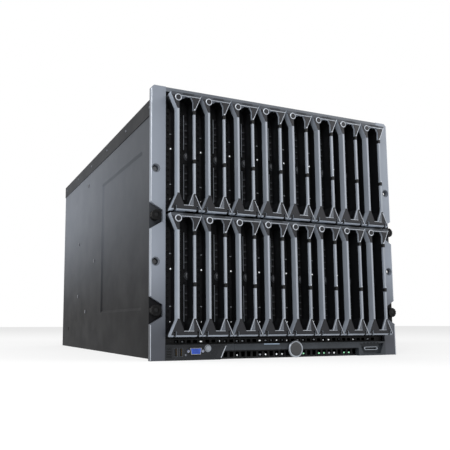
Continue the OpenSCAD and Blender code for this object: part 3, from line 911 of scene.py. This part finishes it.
@dataclass
class Enclosure:
    """Sheet-metal case with its ears, trim and cage."""

    gloss: float = 0.58
    bead: float = 0.0011
    knob_heights: tuple[float, float] = (0.0772, 0.226425)
    hole_heights: tuple[float, float] = (0.1534, 0.302625)
    hole_x: float = 0.23255
    hole_r: float = 0.00575
    notch: float = 0.0222
    reflection_rise: float = 0.06
    reflection_top: float = 0.36
    reflection_end: float = 0.4
    screw_count: int = 6
    flange_drop: float = 0.0135
    top_inset: float = 0.012

    def build(self) -> None:
        """Enamels the sheets with a painted reflection, paints the ears with a painted highlight
        band and adds their painted highlight beads and rings.
        """
        low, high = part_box("left_side_panel")
        # Painted reflection: the sides and cover get a paler tone in a soft band that grows
        # rearwards and swells at mid height.
        side = SideFinish("side_enamel", "#0b0b0d", "#111114", self.gloss, mottle=0.12,
                          gleam=0.12, reflection_tone="#6d727a", rear=(low.y, high.y), most=0.9,
                          height=(low.z + self.reflection_rise, low.z + self.reflection_top,
                                  high.z + self.reflection_end))
        # Painted highlight: the ears get a paler tone that swells about 0.18 m up and fades above.
        paint = SideFinish("satin_ear_paint", "#3f4249", "#484c53", 0.38, 0.1, 0.05, gleam=0.4,
                           reflection_tone="#868d98", rear=(-2.0, -1.0), most=0.92,
                           height=(0.02, 0.18, 0.9))
        for node in ("left_side_panel", "right_side_panel"):
            dress(node, side)
        dress("top_cover", replace(side, name="cover_enamel", reflection_tone="#2c2e32"))
        dress("base_pan", ENAMEL)
        for node in ("left_rack_ear", "right_rack_ear"):
            dress(node, paint)
        dress("top_trim", TRIM)
        dress("card_cage", CAGE)
        dress("midplane", BOARD)
        dress("case_screws", SCREW)
        self.edge_ears()
        self.fasten_cover()

    def edge_ears(self) -> None:
        """Painted highlight bead down each ear's outer edge between the notches, and a ring at each
        hole.
        """
        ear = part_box("right_rack_ear")
        lower, upper = self.knob_heights
        ends = [(0.001, lower - self.notch), (lower + self.notch, upper - self.notch),
                (upper + self.notch, ear[1].z - 0.006)]
        piece = Piece("ear_edges", "chassis", "ears")
        for side in (-1, 1):
            x = side * (ear[1].x - self.bead)
            for start, end in ends:
                path = np.array([(x, 0.0, z) for z in np.linspace(start, end, 4)])
                piece.add(EDGE_HIGHLIGHT, carried(circle(self.bead * 0.5, 8), path, (0, 1, 0)))
            for z in self.hole_heights:
                rim = np.array([(self.hole_r, 0.0002), (self.hole_r + 0.0002, -0.0003),
                                (self.hole_r + 0.0012, -0.0003), (self.hole_r + 0.0015, 0.0002)])
                piece.add(TRIM, hoop(rim, (side * self.hole_x, 0, z), 1))
        piece.build((0, FRONT, 0))

    def fasten_cover(self) -> None:
        """Screws along the cover's flanges and top, and a folded seam across it."""
        low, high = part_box("top_cover")
        depths = np.linspace(low.y + 0.05, high.y - 0.03, self.screw_count)
        piece = Piece("cover_screws", "chassis", "screws")
        for side in (-1, 1):
            head = screw_head((side * (high.x - 0.0003), 0, 0), 0, side, 0.0022)
            piece.add(SCREW, head.repeated(grid([0], depths, [high.z - self.flange_drop])))
            top = screw_head((side * (high.x - self.top_inset), 0, high.z - 0.0002), 2, 1, 0.0026)
            piece.add(SCREW, top.repeated(grid([0], depths, [0])))
        seam = slab(oblong(2 * high.x - 0.03, 0.0024, 0.001), (-0.0001, 0.0005), 0.0001, Plane.TOP)
        piece.add(ENAMEL, seam.moved((0, low.y + 0.25, high.z)),
                  seam.moved((0, low.y + 0.256, high.z)))
        piece.build()


@dataclass
class FrontStrip:
    """The strip under the bays: grille, bar, controls, badge and display."""

    face: float = -0.001
    usb_x: tuple[float, float] = (-0.199, -0.190)
    usb_z: float = 0.0125
    vga: tuple[float, float] = (-0.166, 0.014)
    power: tuple[float, float] = (-0.144, 0.018)
    badge: tuple[float, float] = (0.0197, 0.0143)
    glint_seed: int = 11
    slot_count: int = 39
    slot_reach: float = 0.2052
    low_slots: tuple[int, int] = (10, 34)
    dark_share: float = 0.45
    dim_share: float = 0.68
    low_dark_share: float = 0.35

    def build(self) -> None:
        """Finishes the strip's CAD nodes and adds its fine parts."""
        dress("intake_grille", GRILLE)
        dress("lower_bezel", BEZEL)
        dress("badge_disc", SILVER)
        dress("control_panel", CONTROL)
        dress("console_ports", SplitFinish(
            "port_shells", "#2446a8", "#2f57bd", 0.45, mottle=0.008, other="#3d4046",
            axis="X", below=-0.18))
        dress("power_button", SILVER)
        dress("display_tray", DARK)
        dress("display_module", BEZEL)
        self.glints()
        self.ports()
        self.controls()
        self.badge_face()
        self.grip()
        self.display()

    def glints(self) -> None:
        """Painted highlights behind the intake slots, drawn as glowing pipes: seeded places, widths
        and tones.
        """
        rng = np.random.default_rng(self.glint_seed)
        piece = Piece("intake_painted_glints", "chassis", "badge")
        slots = np.linspace(-self.slot_reach, self.slot_reach, self.slot_count)
        for x, chance, width, lift in zip(slots, *(rng.random(len(slots)) for _ in range(3))):
            if chance > self.dark_share:
                finish = WHITE_LED_AND_GLINT if chance > self.dim_share else DIM_LED_AND_GLINT
                glint_spot = slab(oblong(0.0012 + 0.0034 * width, 0.0021, 0.0008),
                            (0.0084, 0.0092), 0.0002)
                piece.add(finish, glint_spot.moved((x + 0.002 * (lift - 0.5), 0, 0.0283 + 0.001 * lift)))
        low_row = slots[slice(*self.low_slots)]
        for x, chance, width in zip(low_row, *(rng.random(len(low_row)) for _ in range(2))):
            if chance > self.low_dark_share:
                finish = (WHITE_LED_AND_GLINT, GREEN_LED_AND_GLINT, DIM_LED_AND_GLINT)[int(3 * width)]
                glint_spot = slab(oblong(0.0016 + 0.003 * width, 0.0026, 0.001),
                            (0.0082, 0.0092), 0.0002)
                piece.add(finish, glint_spot.moved((x, 0, 0.0058)))
        piece.build((0, FRONT, 0))

    def ports(self) -> None:
        """Shells and tongues of the two upright ports, and the round-cornered display port."""
        piece = Piece("port_shells_fine", "chassis", "ports")
        for x in self.usb_x:
            shell = border(oblong(0.0062, 0.0139, 0.0007), oblong(0.0048, 0.0125, 0.0004),
                           (self.face - 0.0006, self.face + 0.004), 0.0002)
            tongue = slab(oblong(0.0018, 0.0104, 0.0003), (self.face + 0.0006, 0.009), 0.0002)
            contact = slab(oblong(0.0003, 0.0012, 0.0001), (self.face + 0.0008, 0.006), 0.00005)
            contacts = contact.repeated(grid([0.001], [0], np.arange(-3, 4, 2) * 0.0013))
            place = (x, 0, self.usb_z)
            piece.add(CARRIER, shell.moved(place)).add(DARK, tongue.moved(place))
            piece.add(GOLD, contacts.moved(place))
        wide = np.array([(0.0085, 0.004), (-0.0085, 0.004), (-0.0070, -0.004), (0.0070, -0.004)])
        shell = border(inset(wide, -0.0011), inset(wide, -0.0003),
                       (self.face - 0.0037, self.face), 0.0002)
        place = (self.vga[0], 0, self.vga[1])
        piece.add(NICKEL, shell.moved(place))
        hole = turned([(0.0005, 0.0003), (0.0005, -0.0002), (0.0004, -0.00025)],
                      (0, self.face - 0.0035, 0), 1, 8)
        rows = np.concatenate([grid((np.arange(5) - 2) * 0.0023 + 0.0004, [0], [z])
                               for z in (-0.0019, 0.0, 0.0019)])
        piece.add(DARK, hole.repeated(rows).moved(place))
        post = turned([(0.0024, 0.0), (0.0024, -0.0028), (0.0019, -0.0033), (0.0010, -0.0033),
                       (0.0009, -0.001)], (0, self.face, 0), 1, 6)
        piece.add(NICKEL, post.repeated([(-0.0125, 0, 0), (0.0125, 0, 0)]).moved(place))
        piece.build((0, FRONT, 0))

    def controls(self) -> None:
        """Ring round the power button, ribs of the slanted end, a painted highlight along its edge,
        and a screw.
        """
        piece = Piece("control_fine", "chassis", "bezel")
        ring = np.array([(0.0044, 0.0004), (0.0046, -0.0008), (0.0056, -0.0008), (0.0060, 0.0004)])
        piece.add(SILVER, hoop(ring, (self.power[0], self.face, self.power[1]), 1))
        piece.add(SCREW, screw_head((-0.182, self.face + 0.0002, 0.008), 1, -1, 0.0019))
        lean = 0.012 / 0.0245
        steps = np.linspace(0.003, 0.0215, 5)
        for k in range(6):
            x = -0.1385 + 0.0026 * k
            path = np.stack([x + lean * (steps - 0.0122), np.full(5, self.face), steps], axis=1)
            piece.add(CONTROL, carried(circle(0.0006, 8), path, (0, 1, 0)))
        path = np.stack([-0.1220 + lean * steps, np.full(5, self.face + 0.0001), steps], axis=1)
        piece.add(EDGE_HIGHLIGHT, carried(circle(0.0007, 8), path, (0, 1, 0)))
        filler = slab(oblong(0.0085, 0.0012, 0.0004), (self.face - 0.0006, self.face + 0.0004),
                      0.0002)
        piece.add(DARK, filler.repeated(grid([-0.2102], [0], np.arange(0.0062, 0.021, 0.004))))
        piece.build((0, FRONT, 0))

    def badge_face(self) -> None:
        """Bare dark dish inside the badge's silver rim, and a painted highlight bead round it."""
        centre = (self.badge[0], 0, self.badge[1])
        dish = turned([(0.0113, -0.0037), (0.0113, -0.0043), (0.0105, -0.0045), (0.006, -0.0043),
                       (0.002, -0.0042)], centre, 1, 40)
        bead = np.array([(0.0119, -0.0046), (0.0123, -0.0052), (0.0129, -0.0052),
                         (0.0133, -0.0046)])
        piece = Piece("badge_face", "chassis", "badge")
        piece.add(GLASS, dish).add(EDGE_HIGHLIGHT, hoop(bead, centre, 1, 40))
        piece.build((0, FRONT, 0))

    def grip(self) -> None:
        """Finger slots and a rounded pull in the grip block's recess."""
        piece = Piece("grip_fine", "chassis", "bezel")
        slot = border(oblong(0.030, 0.0062, 0.0028, 5), oblong(0.0262, 0.0030, 0.0014, 5),
                      (0.0004, 0.0022), 0.0004)
        piece.add(SILVER, slot.moved((0.184, 0, 0.0125)))
        bar = slab(oblong(0.0046, 0.0014, 0.0005), (self.face - 0.0002, self.face + 0.0006),
                   0.0002)
        piece.add(DARK, bar.repeated(grid(np.arange(0.168, 0.205, 0.0075), [0], [0.0222])))
        piece.build((0, FRONT, 0))

    def display(self) -> None:
        """Front strip, glass and keys of the slide-out display."""
        low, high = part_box("display_module")
        middle = (low.x + high.x) / 2
        piece = Piece("display_fine", "display", "bezel")
        strip = slab(oblong(0.030, 0.0016, 0.0006), (low.y - 0.0002, low.y + 0.0006), 0.0001)
        piece.add(BLUE_STRIP, strip.moved((high.x - 0.019, 0, high.z - 0.0011)))
        glass = slab(oblong(high.x - low.x - 0.0256, 0.0558, 0.001),
                     (high.z - 0.0012, high.z - 0.0003), 0.0001, Plane.TOP)
        piece.add(GLASS, glass.moved((middle, low.y + 0.0425, 0)))
        key = turned([(0.0032, -0.0002), (0.0032, 0.0001), (0.0027, 0.0002), (0.001, 0.0002)],
                     (0, 0, high.z - 0.0001), 2, 20)
        piece.add(CARRIER, key.repeated(grid(middle + np.arange(-2, 3) * 0.0125,
                                             [high.y - 0.012], [0])))
        piece.build()


@dataclass
class Thumbscrews:
    """Four knobs that hold the chassis in its rack."""

    radius: float = 0.0084

    def build(self) -> None:
        """Finishes each knob and adds a cap on its front end."""
        for node in ("thumbscrew_upper_left", "thumbscrew_upper_right",
                     "thumbscrew_lower_left", "thumbscrew_lower_right"):
            dress(node, RUBBER)
            low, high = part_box(node)
            centre = ((low.x + high.x) / 2, low.y, (low.z + high.z) / 2)
            cap = turned([(0.0036, 0.0014), (0.0036, 0.0006), (0.0030, 0.0002), (0.0008, 0.0003)],
                         centre, 1, 24)
            piece = Piece(f"{node}_cap", node, "knob")
            piece.add(DARK, cap)
            piece.build()


@dataclass
class Blade:
    """One blade and its handle, in one cell of the bay."""

    row: Row
    column: int
    carrier_x: float = 0.0145
    carrier_lows: tuple[float, float] = (0.004, 0.0876)
    light_x: float = -0.0155
    vent_x: float = -0.0075
    vent_low: float = 0.0195
    vent_pitch: float = 0.0104
    waist: float = 0.01575
    half: float = 0.02625
    rail: float = 0.0035
    height: float = 0.1924
    reach: float = -0.022
    button: tuple[float, float] = (-0.014, 0.1845)
    foot: float = 0.001
    foot_flare: float = 0.029
    head_flare: float = 0.026
    head_bar: float = 0.0045
    bead: float = 0.00045

    def __post_init__(self) -> None:
        """Names of the blade's node and its handle's node."""
        cell = f"{self.row.value}_{self.column}"
        self.node: str = f"blade_{cell}"
        self.grip: str = f"handle_{cell}"

    def build(self) -> None:
        """Finishes the blade and its handle and adds their fine parts."""
        low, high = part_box(self.node)
        origin = ((low.x + high.x) / 2, FRONT, low.z - 0.0003)
        dress(self.node, BLADE)
        foot = origin[2]
        dress(self.grip, HandleFinish(
            f"handle_alloy_{self.row.value}", ALLOY.tone, ALLOY.second, ALLOY.roughness,
            ALLOY.metallic, ALLOY.mottle, stretch=ALLOY.stretch, gleam=0.3,
            front=FRONT + self.reach, foot_end=foot + self.foot_flare,
            head_start=foot + self.height - self.head_flare,
            bar_start=foot + self.height - self.head_bar))
        self.plate(origin)
        self.handle(origin)

    def plate(self, origin: tuple[float, float, float]) -> None:
        """Drive latches, ribs, lenses, screws and spring fingers on the face plate.

        Args:
            origin: Foot of the cell, at the ears' face.
        """
        piece = Piece(f"{self.node}_fine", self.node, "blade")
        lows = grid([self.carrier_x], [0], self.carrier_lows)
        boss = turned([(0.0051, 0.0), (0.0051, -0.0006), (0.0042, -0.0012), (0.0026, -0.0012),
                       (0.0022, -0.0007)], (0, 0.006, 0.010), 1, 24)
        ring = hoop(np.array([(0.0056, 0.0004), (0.0057, -0.0016), (0.0067, -0.0016),
                              (0.0070, 0.0004)]), (0, 0.0083, 0.010), 1, 28)
        lip = slab(oblong(0.0011, 0.059, 0.0004), (0.0052, 0.0064), 0.0002)
        rib = slab(oblong(0.0104, 0.0018, 0.0006), (0.0066, 0.0088), 0.0003)
        piece.add(CARRIER, boss.repeated(lows), ring.repeated(lows))
        piece.add(SILVER, lip.repeated(lows + np.array([(-0.0078, 0, 0.050)])),
                  lip.repeated(lows + np.array([(0.0078, 0, 0.050)])))
        ribs = (lows[:, None] + grid([0], [0], 0.0315 + 0.0112 * np.arange(4))[None])
        piece.add(CARRIER, rib.repeated(ribs.reshape(-1, 3)))
        dome = turned([(0.0013, 0.0002), (0.0013, -0.0003), (0.0009, -0.0007), (0.0003, -0.0009)],
                      (self.light_x, 0.0077, 0), 1, 12)
        dash = slab(oblong(0.0042, 0.0011, 0.0005), (0.0070, 0.0080), 0.0002)
        piece.add(WHITE_LED_AND_GLINT, dome.repeated(grid([0], [0], (0.024, 0.1076))))
        piece.add(DIM_LED_AND_GLINT, dash.repeated(grid([self.light_x], [0], (0.0485, 0.1321))))
        head = screw_head((0, 0.0081, 0), 1, -1, 0.0018)
        piece.add(SCREW, head.repeated(grid((-0.0225, 0.0225), [0], (0.0055, 0.1885))))
        finger = np.array([(0, 0.0030), (0.0006, 0.0012), (0.0011, -0.0012), (0, -0.0030),
                           (-0.0002, 0.0)])
        strip = slab(finger, (0.0084, 0.0134), 0.0001)
        heights = np.arange(0.012, 0.186, 0.0115)
        piece.add(NICKEL, strip.repeated(grid([0.0250], [0], heights)))
        self.hole_glints(piece)
        piece.build(origin)

    def hole_glints(self, piece: Piece) -> None:
        """Painted highlights in some of the air holes, drawn as glowing plugs, and light bars beside
        the rail.

        Args:
            piece: The piece that takes them.
        """
        # Painted highlights: the cells and air holes where a bright spot is drawn as a glowing plug.
        lit = {(Row.LOWER, 3): range(9, 14), (Row.LOWER, 4): range(10, 13),
               (Row.UPPER, 4): range(8, 14), (Row.UPPER, 3): range(5, 8),
               (Row.UPPER, 5): range(9, 13)}
        chosen = lit.get((self.row, self.column), ())
        if chosen:
            plug = slab(oblong(0.0026, 0.0040, 0.0008), (0.0078, 0.0088), 0.0002)
            heights = self.vent_low + self.vent_pitch * np.array(list(chosen))
            piece.add(WHITE_LED_AND_GLINT, plug.repeated(grid([self.vent_x], [0], heights)))
        if self.column > 4:
            bar = slab(oblong(0.0011, 0.0085, 0.0005), (0.0071, 0.0082), 0.0002)
            piece.add(DIM_LED_AND_GLINT, bar.repeated(grid([self.light_x + 0.0035], [0],
                                                  (0.029, 0.049, 0.1176, 0.1397))))

    def handle(self, origin: tuple[float, float, float]) -> None:
        """Button collar and dots with a painted highlight, painted highlight lines along edges, the
        right gusset's plate, clips and head ridges.

        Args:
            origin: Foot of the cell, at the ears' face.
        """
        piece = Piece(f"{self.grip}_fine", self.grip, "handle")
        x, z = self.button
        collar = hoop(np.array([(0.0041, 0.0003), (0.0042, -0.0007), (0.0050, -0.0009),
                                (0.0056, -0.0005), (0.0057, 0.0003)]), (x, self.reach, z), 1, 28)
        piece.add(EDGE_HIGHLIGHT, collar)
        low, top, edge = self.foot, self.foot + self.height, self.bead
        # Painted highlight lines along the handle's edges.
        lines = [[(-0.0043, low + 0.009), (0.0125, low + 0.009)],
                 [(self.waist, low + 0.026), (self.half, low + 0.003)],
                 [(self.waist, top - 0.026), (self.half, top - 0.003)],
                 [(-0.0085, top - 0.0052), (self.half - 0.001, top - 0.0052)],
                 [(self.waist - self.rail, low + 0.029), (0.0043, low + 0.009)]]
        for (x0, z0), (x1, z1) in lines:
            steps = np.linspace(0, 1, 4)[:, None]
            path = np.array([(x0 - edge, self.reach, z0)]) * (1 - steps)
            path = path + np.array([(x1 - edge, self.reach, z1)]) * steps
            piece.add(EDGE_HIGHLIGHT, carried(circle(edge, 6), path, (0, 1, 0)))
        gusset = np.array([(0.0050, low + 0.0098), (0.0118, low + 0.0098), (0.0118, low + 0.0268)])
        piece.add(TRIM, slab(gusset, (self.reach - 0.0004, self.reach + 0.0002), 0.0002))
        clip = slab(oblong(0.0050, 0.0066, 0.0010), (self.reach - 0.0006, self.reach + 0.0086),
                    0.0005)
        dot = turned([(0.0011, 0.0002), (0.0011, -0.0004), (0.0006, -0.0007)],
                     (0, self.reach - 0.0006, 0), 1, 10)
        places = grid([self.waist - self.rail / 2], [0], (low + 0.42 * self.height,
                                                          low + 0.84 * self.height))
        piece.add(DARK, clip.repeated(places)).add(EDGE_HIGHLIGHT, dot.repeated(places + [(0, 0, 0.0045)]))
        ridge = slab(oblong(0.020, 0.0007, 0.0003), (self.reach - 0.0003, self.reach + 0.0001),
                     0.0001)
        piece.add(DARK, ridge.repeated(grid([0.004], [0], top - np.array((0.0010, 0.0026)))))
        piece.build(origin)


@dataclass
class RearBay:
    """Hot-plug modules at the back."""

    inner: float = 0.216
    supply_z: float = 0.0018
    controller_z: float = 0.0919
    fan_z: float = 0.1317
    fan_width: float = 0.079
    fan_pitch: float = 0.09945
    slot_pitch: float = 0.0325
    rotor_depth: float = 0.0797
    rotor_length: float = 0.0277
    vanes: int = 7
    supply_pitch: float = 0.072
    controller_pitch: float = 0.144
    port_low: float = 0.053
    port_pitch: float = 0.026

    def build(self) -> None:
        """Finishes the modules and adds rotors, sockets, latches, lights and screws."""
        dress("rear_frame", FRAME)
        for node in ("power_supplies", "fan_housings", "io_modules", "controllers"):
            dress(node, MODULE)
        self.rotors()
        self.supplies()
        self.fans()
        self.switches()
        self.managers()

    def fan_places(self) -> Array:
        """Middles of the nine fans, on the end plates.

        Returns:
            One row of x, y and z for each fan.
        """
        columns = -self.inner + self.fan_width / 2 + np.arange(3) * (
            self.fan_width + 3 * self.slot_pitch)
        return grid(columns, [0], self.fan_z + self.fan_pitch * (np.arange(3) + 0.5))

    def rotors(self) -> None:
        """Nine rotors: a turned hub and its twisted vanes.

        A vane's ring at radius r is a lens-shaped section, s along its chord and t across it,
        pitched by an angle that falls with r: the turn is s times the angle's cosine over r,
        and the depth is s times its sine.
        """
        radii = np.linspace(0.0145, 0.034, 6)
        pitch = np.radians(np.linspace(52, 26, 6))
        chord = np.linspace(0.019, 0.026, 6)
        turn = np.arange(12) * 2 * np.pi / 12
        s = 0.5 * chord[:, None] * np.cos(turn)
        t = 0.0007 * np.sin(turn) - 0.0022 * (1 - np.cos(turn) ** 2)
        middle = -self.rotor_depth + self.rotor_length / 2
        shells = []
        for k in range(self.vanes):
            angle = (k * 2 * np.pi / self.vanes
                     + (s * np.cos(pitch[:, None]) - t * np.sin(pitch[:, None])) / radii[:, None])
            depth = middle + 0.9 * (s * np.sin(pitch[:, None]) + t * np.cos(pitch[:, None]))
            reach = np.broadcast_to(radii[:, None], angle.shape)
            shells.append(loft(np.stack([reach * np.cos(angle), depth, reach * np.sin(angle)],
                                        axis=-1)))
        end = -self.rotor_depth + self.rotor_length
        hub = turned([(0.0148, -self.rotor_depth), (0.0148, end - 0.002), (0.0138, end - 0.0004),
                      (0.0110, end), (0.0104, end - 0.0004), (0.004, end - 0.0004)],
                     (0, 0, 0), 1, 28)
        piece = Piece("fan_rotor_vanes", "chassis", "modules")
        piece.add(ROTOR, joined([hub, *shells]).repeated(self.fan_places()))
        made = piece.build((0, REAR, 0))
        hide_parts("fan_rotors")

    def supplies(self) -> None:
        """Inlet rims, latches, lights and screws of the six power supplies."""
        places = grid(-self.inner + self.supply_pitch * (np.arange(6) + 0.5), [0], [self.supply_z])
        rim = border(oblong(0.0306, 0.0226, 0.002), oblong(0.0272, 0.0192, 0.0008),
                     (-0.0002, 0.0011), 0.0003).moved((0.0175, 0, 0.0195))
        latch = slab(oblong(0.0085, 0.022, 0.0018), (-0.0002, 0.0032), 0.0007)
        rib = slab(oblong(0.0065, 0.0009, 0.0003), (0.003, 0.0038), 0.0002)
        light = rear_light(0.0016, 0.0009)
        head = screw_head((0, -0.0001, 0), 1, 1, 0.0022)
        piece = Piece("supply_fine", "chassis", "modules")
        ribs = rib.repeated(grid([0.0005], [0], 0.060 + 0.003 * np.arange(5)))
        heads = head.repeated(grid((-0.0320, 0.0320), [0], (0.004, 0.084)))
        piece.spread(places, (DARK, rim), (CONTROL, latch.moved((0.0005, 0, 0.066))),
                     (CONTROL, ribs), (GREEN_LED_AND_GLINT, light.moved((0.0005, 0, 0.040))),
                     (DIM_LED_AND_GLINT, light.moved((0.0005, 0, 0.047))), (SCREW, heads))
        piece.build((0, REAR, 0))

    def fans(self) -> None:
        """Flared mouth ring, latch, light and screws of each fan module."""
        places = self.fan_places()
        mouth = hoop(np.array([(0.0350, -0.0015), (0.0350, 0.0), (0.0356, 0.0009),
                               (0.0366, 0.0009), (0.0376, -0.0002), (0.0376, -0.0015)]),
                     (0, 0, 0), 1, 48)
        latch = slab(oblong(0.020, 0.0056, 0.002), (-0.0002, 0.004), 0.0008)
        light = rear_light(0.0014, 0.0008)
        head = screw_head((0, -0.0001, 0), 1, 1, 0.0021)
        piece = Piece("fan_fine", "chassis", "modules")
        heads = head.repeated(grid((-0.0345, 0.0345), [0], (-0.044, 0.038)))
        piece.spread(places, (FRAME, mouth), (CONTROL, latch.moved((0, 0, 0.0425))),
                     (GREEN_LED_AND_GLINT, light.moved((0.030, 0, 0.0425))), (SCREW, heads))
        piece.build((0, REAR, 0))

    def switches(self) -> None:
        """Cage rims, link lights and lever grips of the six upright switch modules."""
        start = [-self.inner + (g + 1) * self.fan_width + (3 * g + k + 0.5) * self.slot_pitch
                 for g in range(2) for k in range(3)]
        places = grid(start, [0], [self.fan_z + 0.0004])
        ports = grid([0], [0], self.port_low + self.port_pitch * np.arange(8))
        rim = border(oblong(0.0186, 0.0164, 0.0012), oblong(0.0158, 0.0138, 0.0006),
                     (-0.0002, 0.0027), 0.0003)
        tab = slab(oblong(0.0070, 0.0022, 0.0008), (0.0015, 0.0034), 0.0004)
        light = slab(oblong(0.0018, 0.0010, 0.0003), (-0.0002, 0.0006), 0.0002)
        grip = slab(oblong(0.0142, 0.0016, 0.0006), (0.0052, 0.0059), 0.0002)
        piece = Piece("switch_fine", "chassis", "modules")
        socket = ((NICKEL, rim), (DARK, tab), (GREEN_LED_AND_GLINT, light.moved((0.0118, 0, 0.004))),
                  (DIM_LED_AND_GLINT, light.moved((0.0118, 0, -0.004))))
        piece.spread(places, *((finish, shell.repeated(ports)) for finish, shell in socket))
        heights = np.concatenate([0.012 + 0.0034 * np.arange(4), 0.2765 + 0.0034 * np.arange(4)])
        piece.add(DARK, grip.repeated(grid([0], [0], heights)).repeated(places))
        piece.build((0, REAR, 0))

    def managers(self) -> None:
        """Socket rims, captive screw heads and lights of the three low controllers."""
        places = grid(-self.inner + self.controller_pitch * (np.arange(3) + 0.5), [0],
                      [self.controller_z])
        knob = turned([(0.0040, -0.0001), (0.0046, 0.0006), (0.0046, 0.0060), (0.0040, 0.0068),
                       (0.0016, 0.0068), (0.0014, 0.0058)], (0, 0, 0.019), 1, 24)
        rim = border(oblong(0.0146, 0.0108, 0.0008), oblong(0.0126, 0.0088, 0.0003),
                     (-0.0002, 0.0009), 0.0002).moved((0.0262, 0, 0.0183))
        light = rear_light(0.0013, 0.0007)
        label = slab(oblong(0.024, 0.009, 0.001), (-0.0002, 0.0003), 0.0001)
        piece = Piece("controller_fine", "chassis", "modules")
        piece.add(SCREW, knob.repeated(grid((-0.060, 0.060), [0], [0])).repeated(places))
        piece.add(NICKEL, rim.repeated(places[::2]))
        piece.add(GREEN_LED_AND_GLINT, light.repeated(grid((0.040, 0.045), [0], [0.013])).repeated(places))
        piece.add(TRIM, label.moved((0.0, 0, 0.012)).repeated(places))
        piece.build((0, REAR, 0))


# ---------- camera, floor and light ----------


@dataclass(frozen=True)
class Viewpoint:
    """Camera low at the left of the front, looking along the row of handles."""

    place: tuple[float, float, float] = (-0.5416, -1.1970, 0.0552)
    yaw: float = 0.4026
    pitch: float = 0.1205
    roll: float = -0.0014
    lens: float = 45.85
    shift: tuple[float, float] = (0.0950, 0.0674)

    def build(self) -> None:
        """Makes the camera and the scene's camera of it."""
        sin, cos = np.sin, np.cos
        ahead = Vector((sin(self.yaw) * cos(self.pitch), cos(self.yaw) * cos(self.pitch),
                        sin(self.pitch)))
        right = Vector((cos(self.yaw), -sin(self.yaw), 0.0))
        up = right.cross(ahead)
        across = right * cos(self.roll) + up * sin(self.roll)
        upright = up * cos(self.roll) - right * sin(self.roll)
        data = bpy.data.cameras.new("camera")
        data.lens, data.shift_x, data.shift_y = self.lens, self.shift[0], self.shift[1]
        data.clip_start, data.clip_end = 0.01, 50
        camera = bpy.data.objects.new("camera", data)
        bpy.context.scene.collection.objects.link(camera)
        turn = Matrix((across, upright, -ahead)).transposed()
        camera.matrix_world = Matrix.Translation(self.place) @ turn.to_4x4()
        bpy.context.scene.camera = camera


@dataclass(frozen=True)
class Lamp:
    """A soft rectangular lamp."""

    name: str
    place: tuple[float, float, float]
    aim: tuple[float, float, float]
    size: tuple[float, float]
    power: float

    def build(self) -> None:
        """Hangs the lamp and turns it to its aim."""
        data = bpy.data.lights.new(self.name, "AREA")
        data.shape, data.size, data.size_y = "RECTANGLE", self.size[0], self.size[1]
        data.energy = self.power
        lamp = bpy.data.objects.new(self.name, data)
        bpy.context.scene.collection.objects.link(lamp)
        lamp.location = self.place
        lamp.rotation_euler = (Vector(self.aim) - Vector(self.place)).to_track_quat(
            "-Z", "Y").to_euler()


@dataclass
class Studio:
    """White room: a floor that keeps the shadow, an even sky and three lamps."""

    sky: float = 0.55
    floor_size: float = 30.0
    shadow_share: float = 0.4
    lamps: tuple[Lamp, ...] = (
        Lamp("key_lamp", (-1.6, -2.6, 1.9), (0.0, -0.2, 0.2), (1.6, 1.2), 62.0),
        Lamp("side_lamp", (-2.8, 1.0, 1.7), (-0.2, 0.2, 0.2), (1.4, 1.4), 38.0),
        Lamp("fill_lamp", (2.4, -2.0, 1.8), (0.1, -0.2, 0.2), (1.6, 1.4), 30.0),
    )

    def camera_rays(self, shader: Shader) -> Value:
        """One on rays that come straight from the camera or by a mirror or glass.

        Args:
            shader: The tree that asks.

        Returns:
            The sum of the three kinds of ray.
        """
        path = shader.node("ShaderNodeLightPath", output="Is Camera Ray")
        nodes = path.socket.node.outputs
        both = path + Value(shader, nodes["Is Glossy Ray"])
        return both + Value(shader, nodes["Is Transmission Ray"])

    def build(self) -> None:
        """Makes the floor, the world and the lamps."""
        shader = Shader(bpy.data.materials.new("floor_white"))
        lit = shader.node("ShaderNodeBsdfDiffuse", {}, {"Color": (0.93, 0.93, 0.93, 1)})
        white = shader.node("ShaderNodeEmission", {}, {"Strength": 1.0})
        share = self.camera_rays(shader) * (1 - self.shadow_share)
        mixed = shader.node("ShaderNodeMixShader", {}, {0: share, 1: lit, 2: white})
        shader.node("ShaderNodeOutputMaterial", {}, {"Surface": mixed})
        half = self.floor_size / 2
        mesh = bpy.data.meshes.new("floor")
        mesh.from_pydata([(-half, -half, 0), (half, -half, 0), (half, half, 0), (-half, half, 0)],
                         [], [(0, 1, 2, 3)])
        mesh.materials.append(shader.owner)
        floor = bpy.data.objects.new("floor", mesh)
        bpy.context.scene.collection.objects.link(floor)
        self.build_sky()
        for lamp in self.lamps:
            lamp.build()

    def build_sky(self) -> None:
        """World that the camera sees white and the object is lit by evenly."""
        world = bpy.data.worlds.new("sky")
        bpy.context.scene.world = world
        shader = Shader(world)
        even = shader.node("ShaderNodeBackground", {}, {"Strength": self.sky})
        white = shader.node("ShaderNodeBackground", {}, {"Strength": 1.0})
        for background in (even, white):
            background.socket.node.inputs["Color"].default_value = (1, 1, 1, 1)
        mixed = shader.node("ShaderNodeMixShader", {},
                            {0: self.camera_rays(shader), 1: even, 2: white})
        shader.node("ShaderNodeOutputWorld", {}, {"Surface": mixed})


def main() -> None:
    """Builds the stage, dresses the frame and adds the fine parts, in order."""
    logging.basicConfig(level=logging.INFO, format="%(name)s: %(message)s")
    bpy.context.scene.view_settings.view_transform = "Standard"
    Viewpoint().build()
    Studio().build()
    parts = [Enclosure(), FrontStrip(), Thumbscrews(), RearBay()]
    parts += [Blade(row, column) for row in Row for column in COLUMNS]
    for part in parts:
        part.build()
        log.info("%s built", type(part).__name__)


if __name__ == "__main__":
    main()
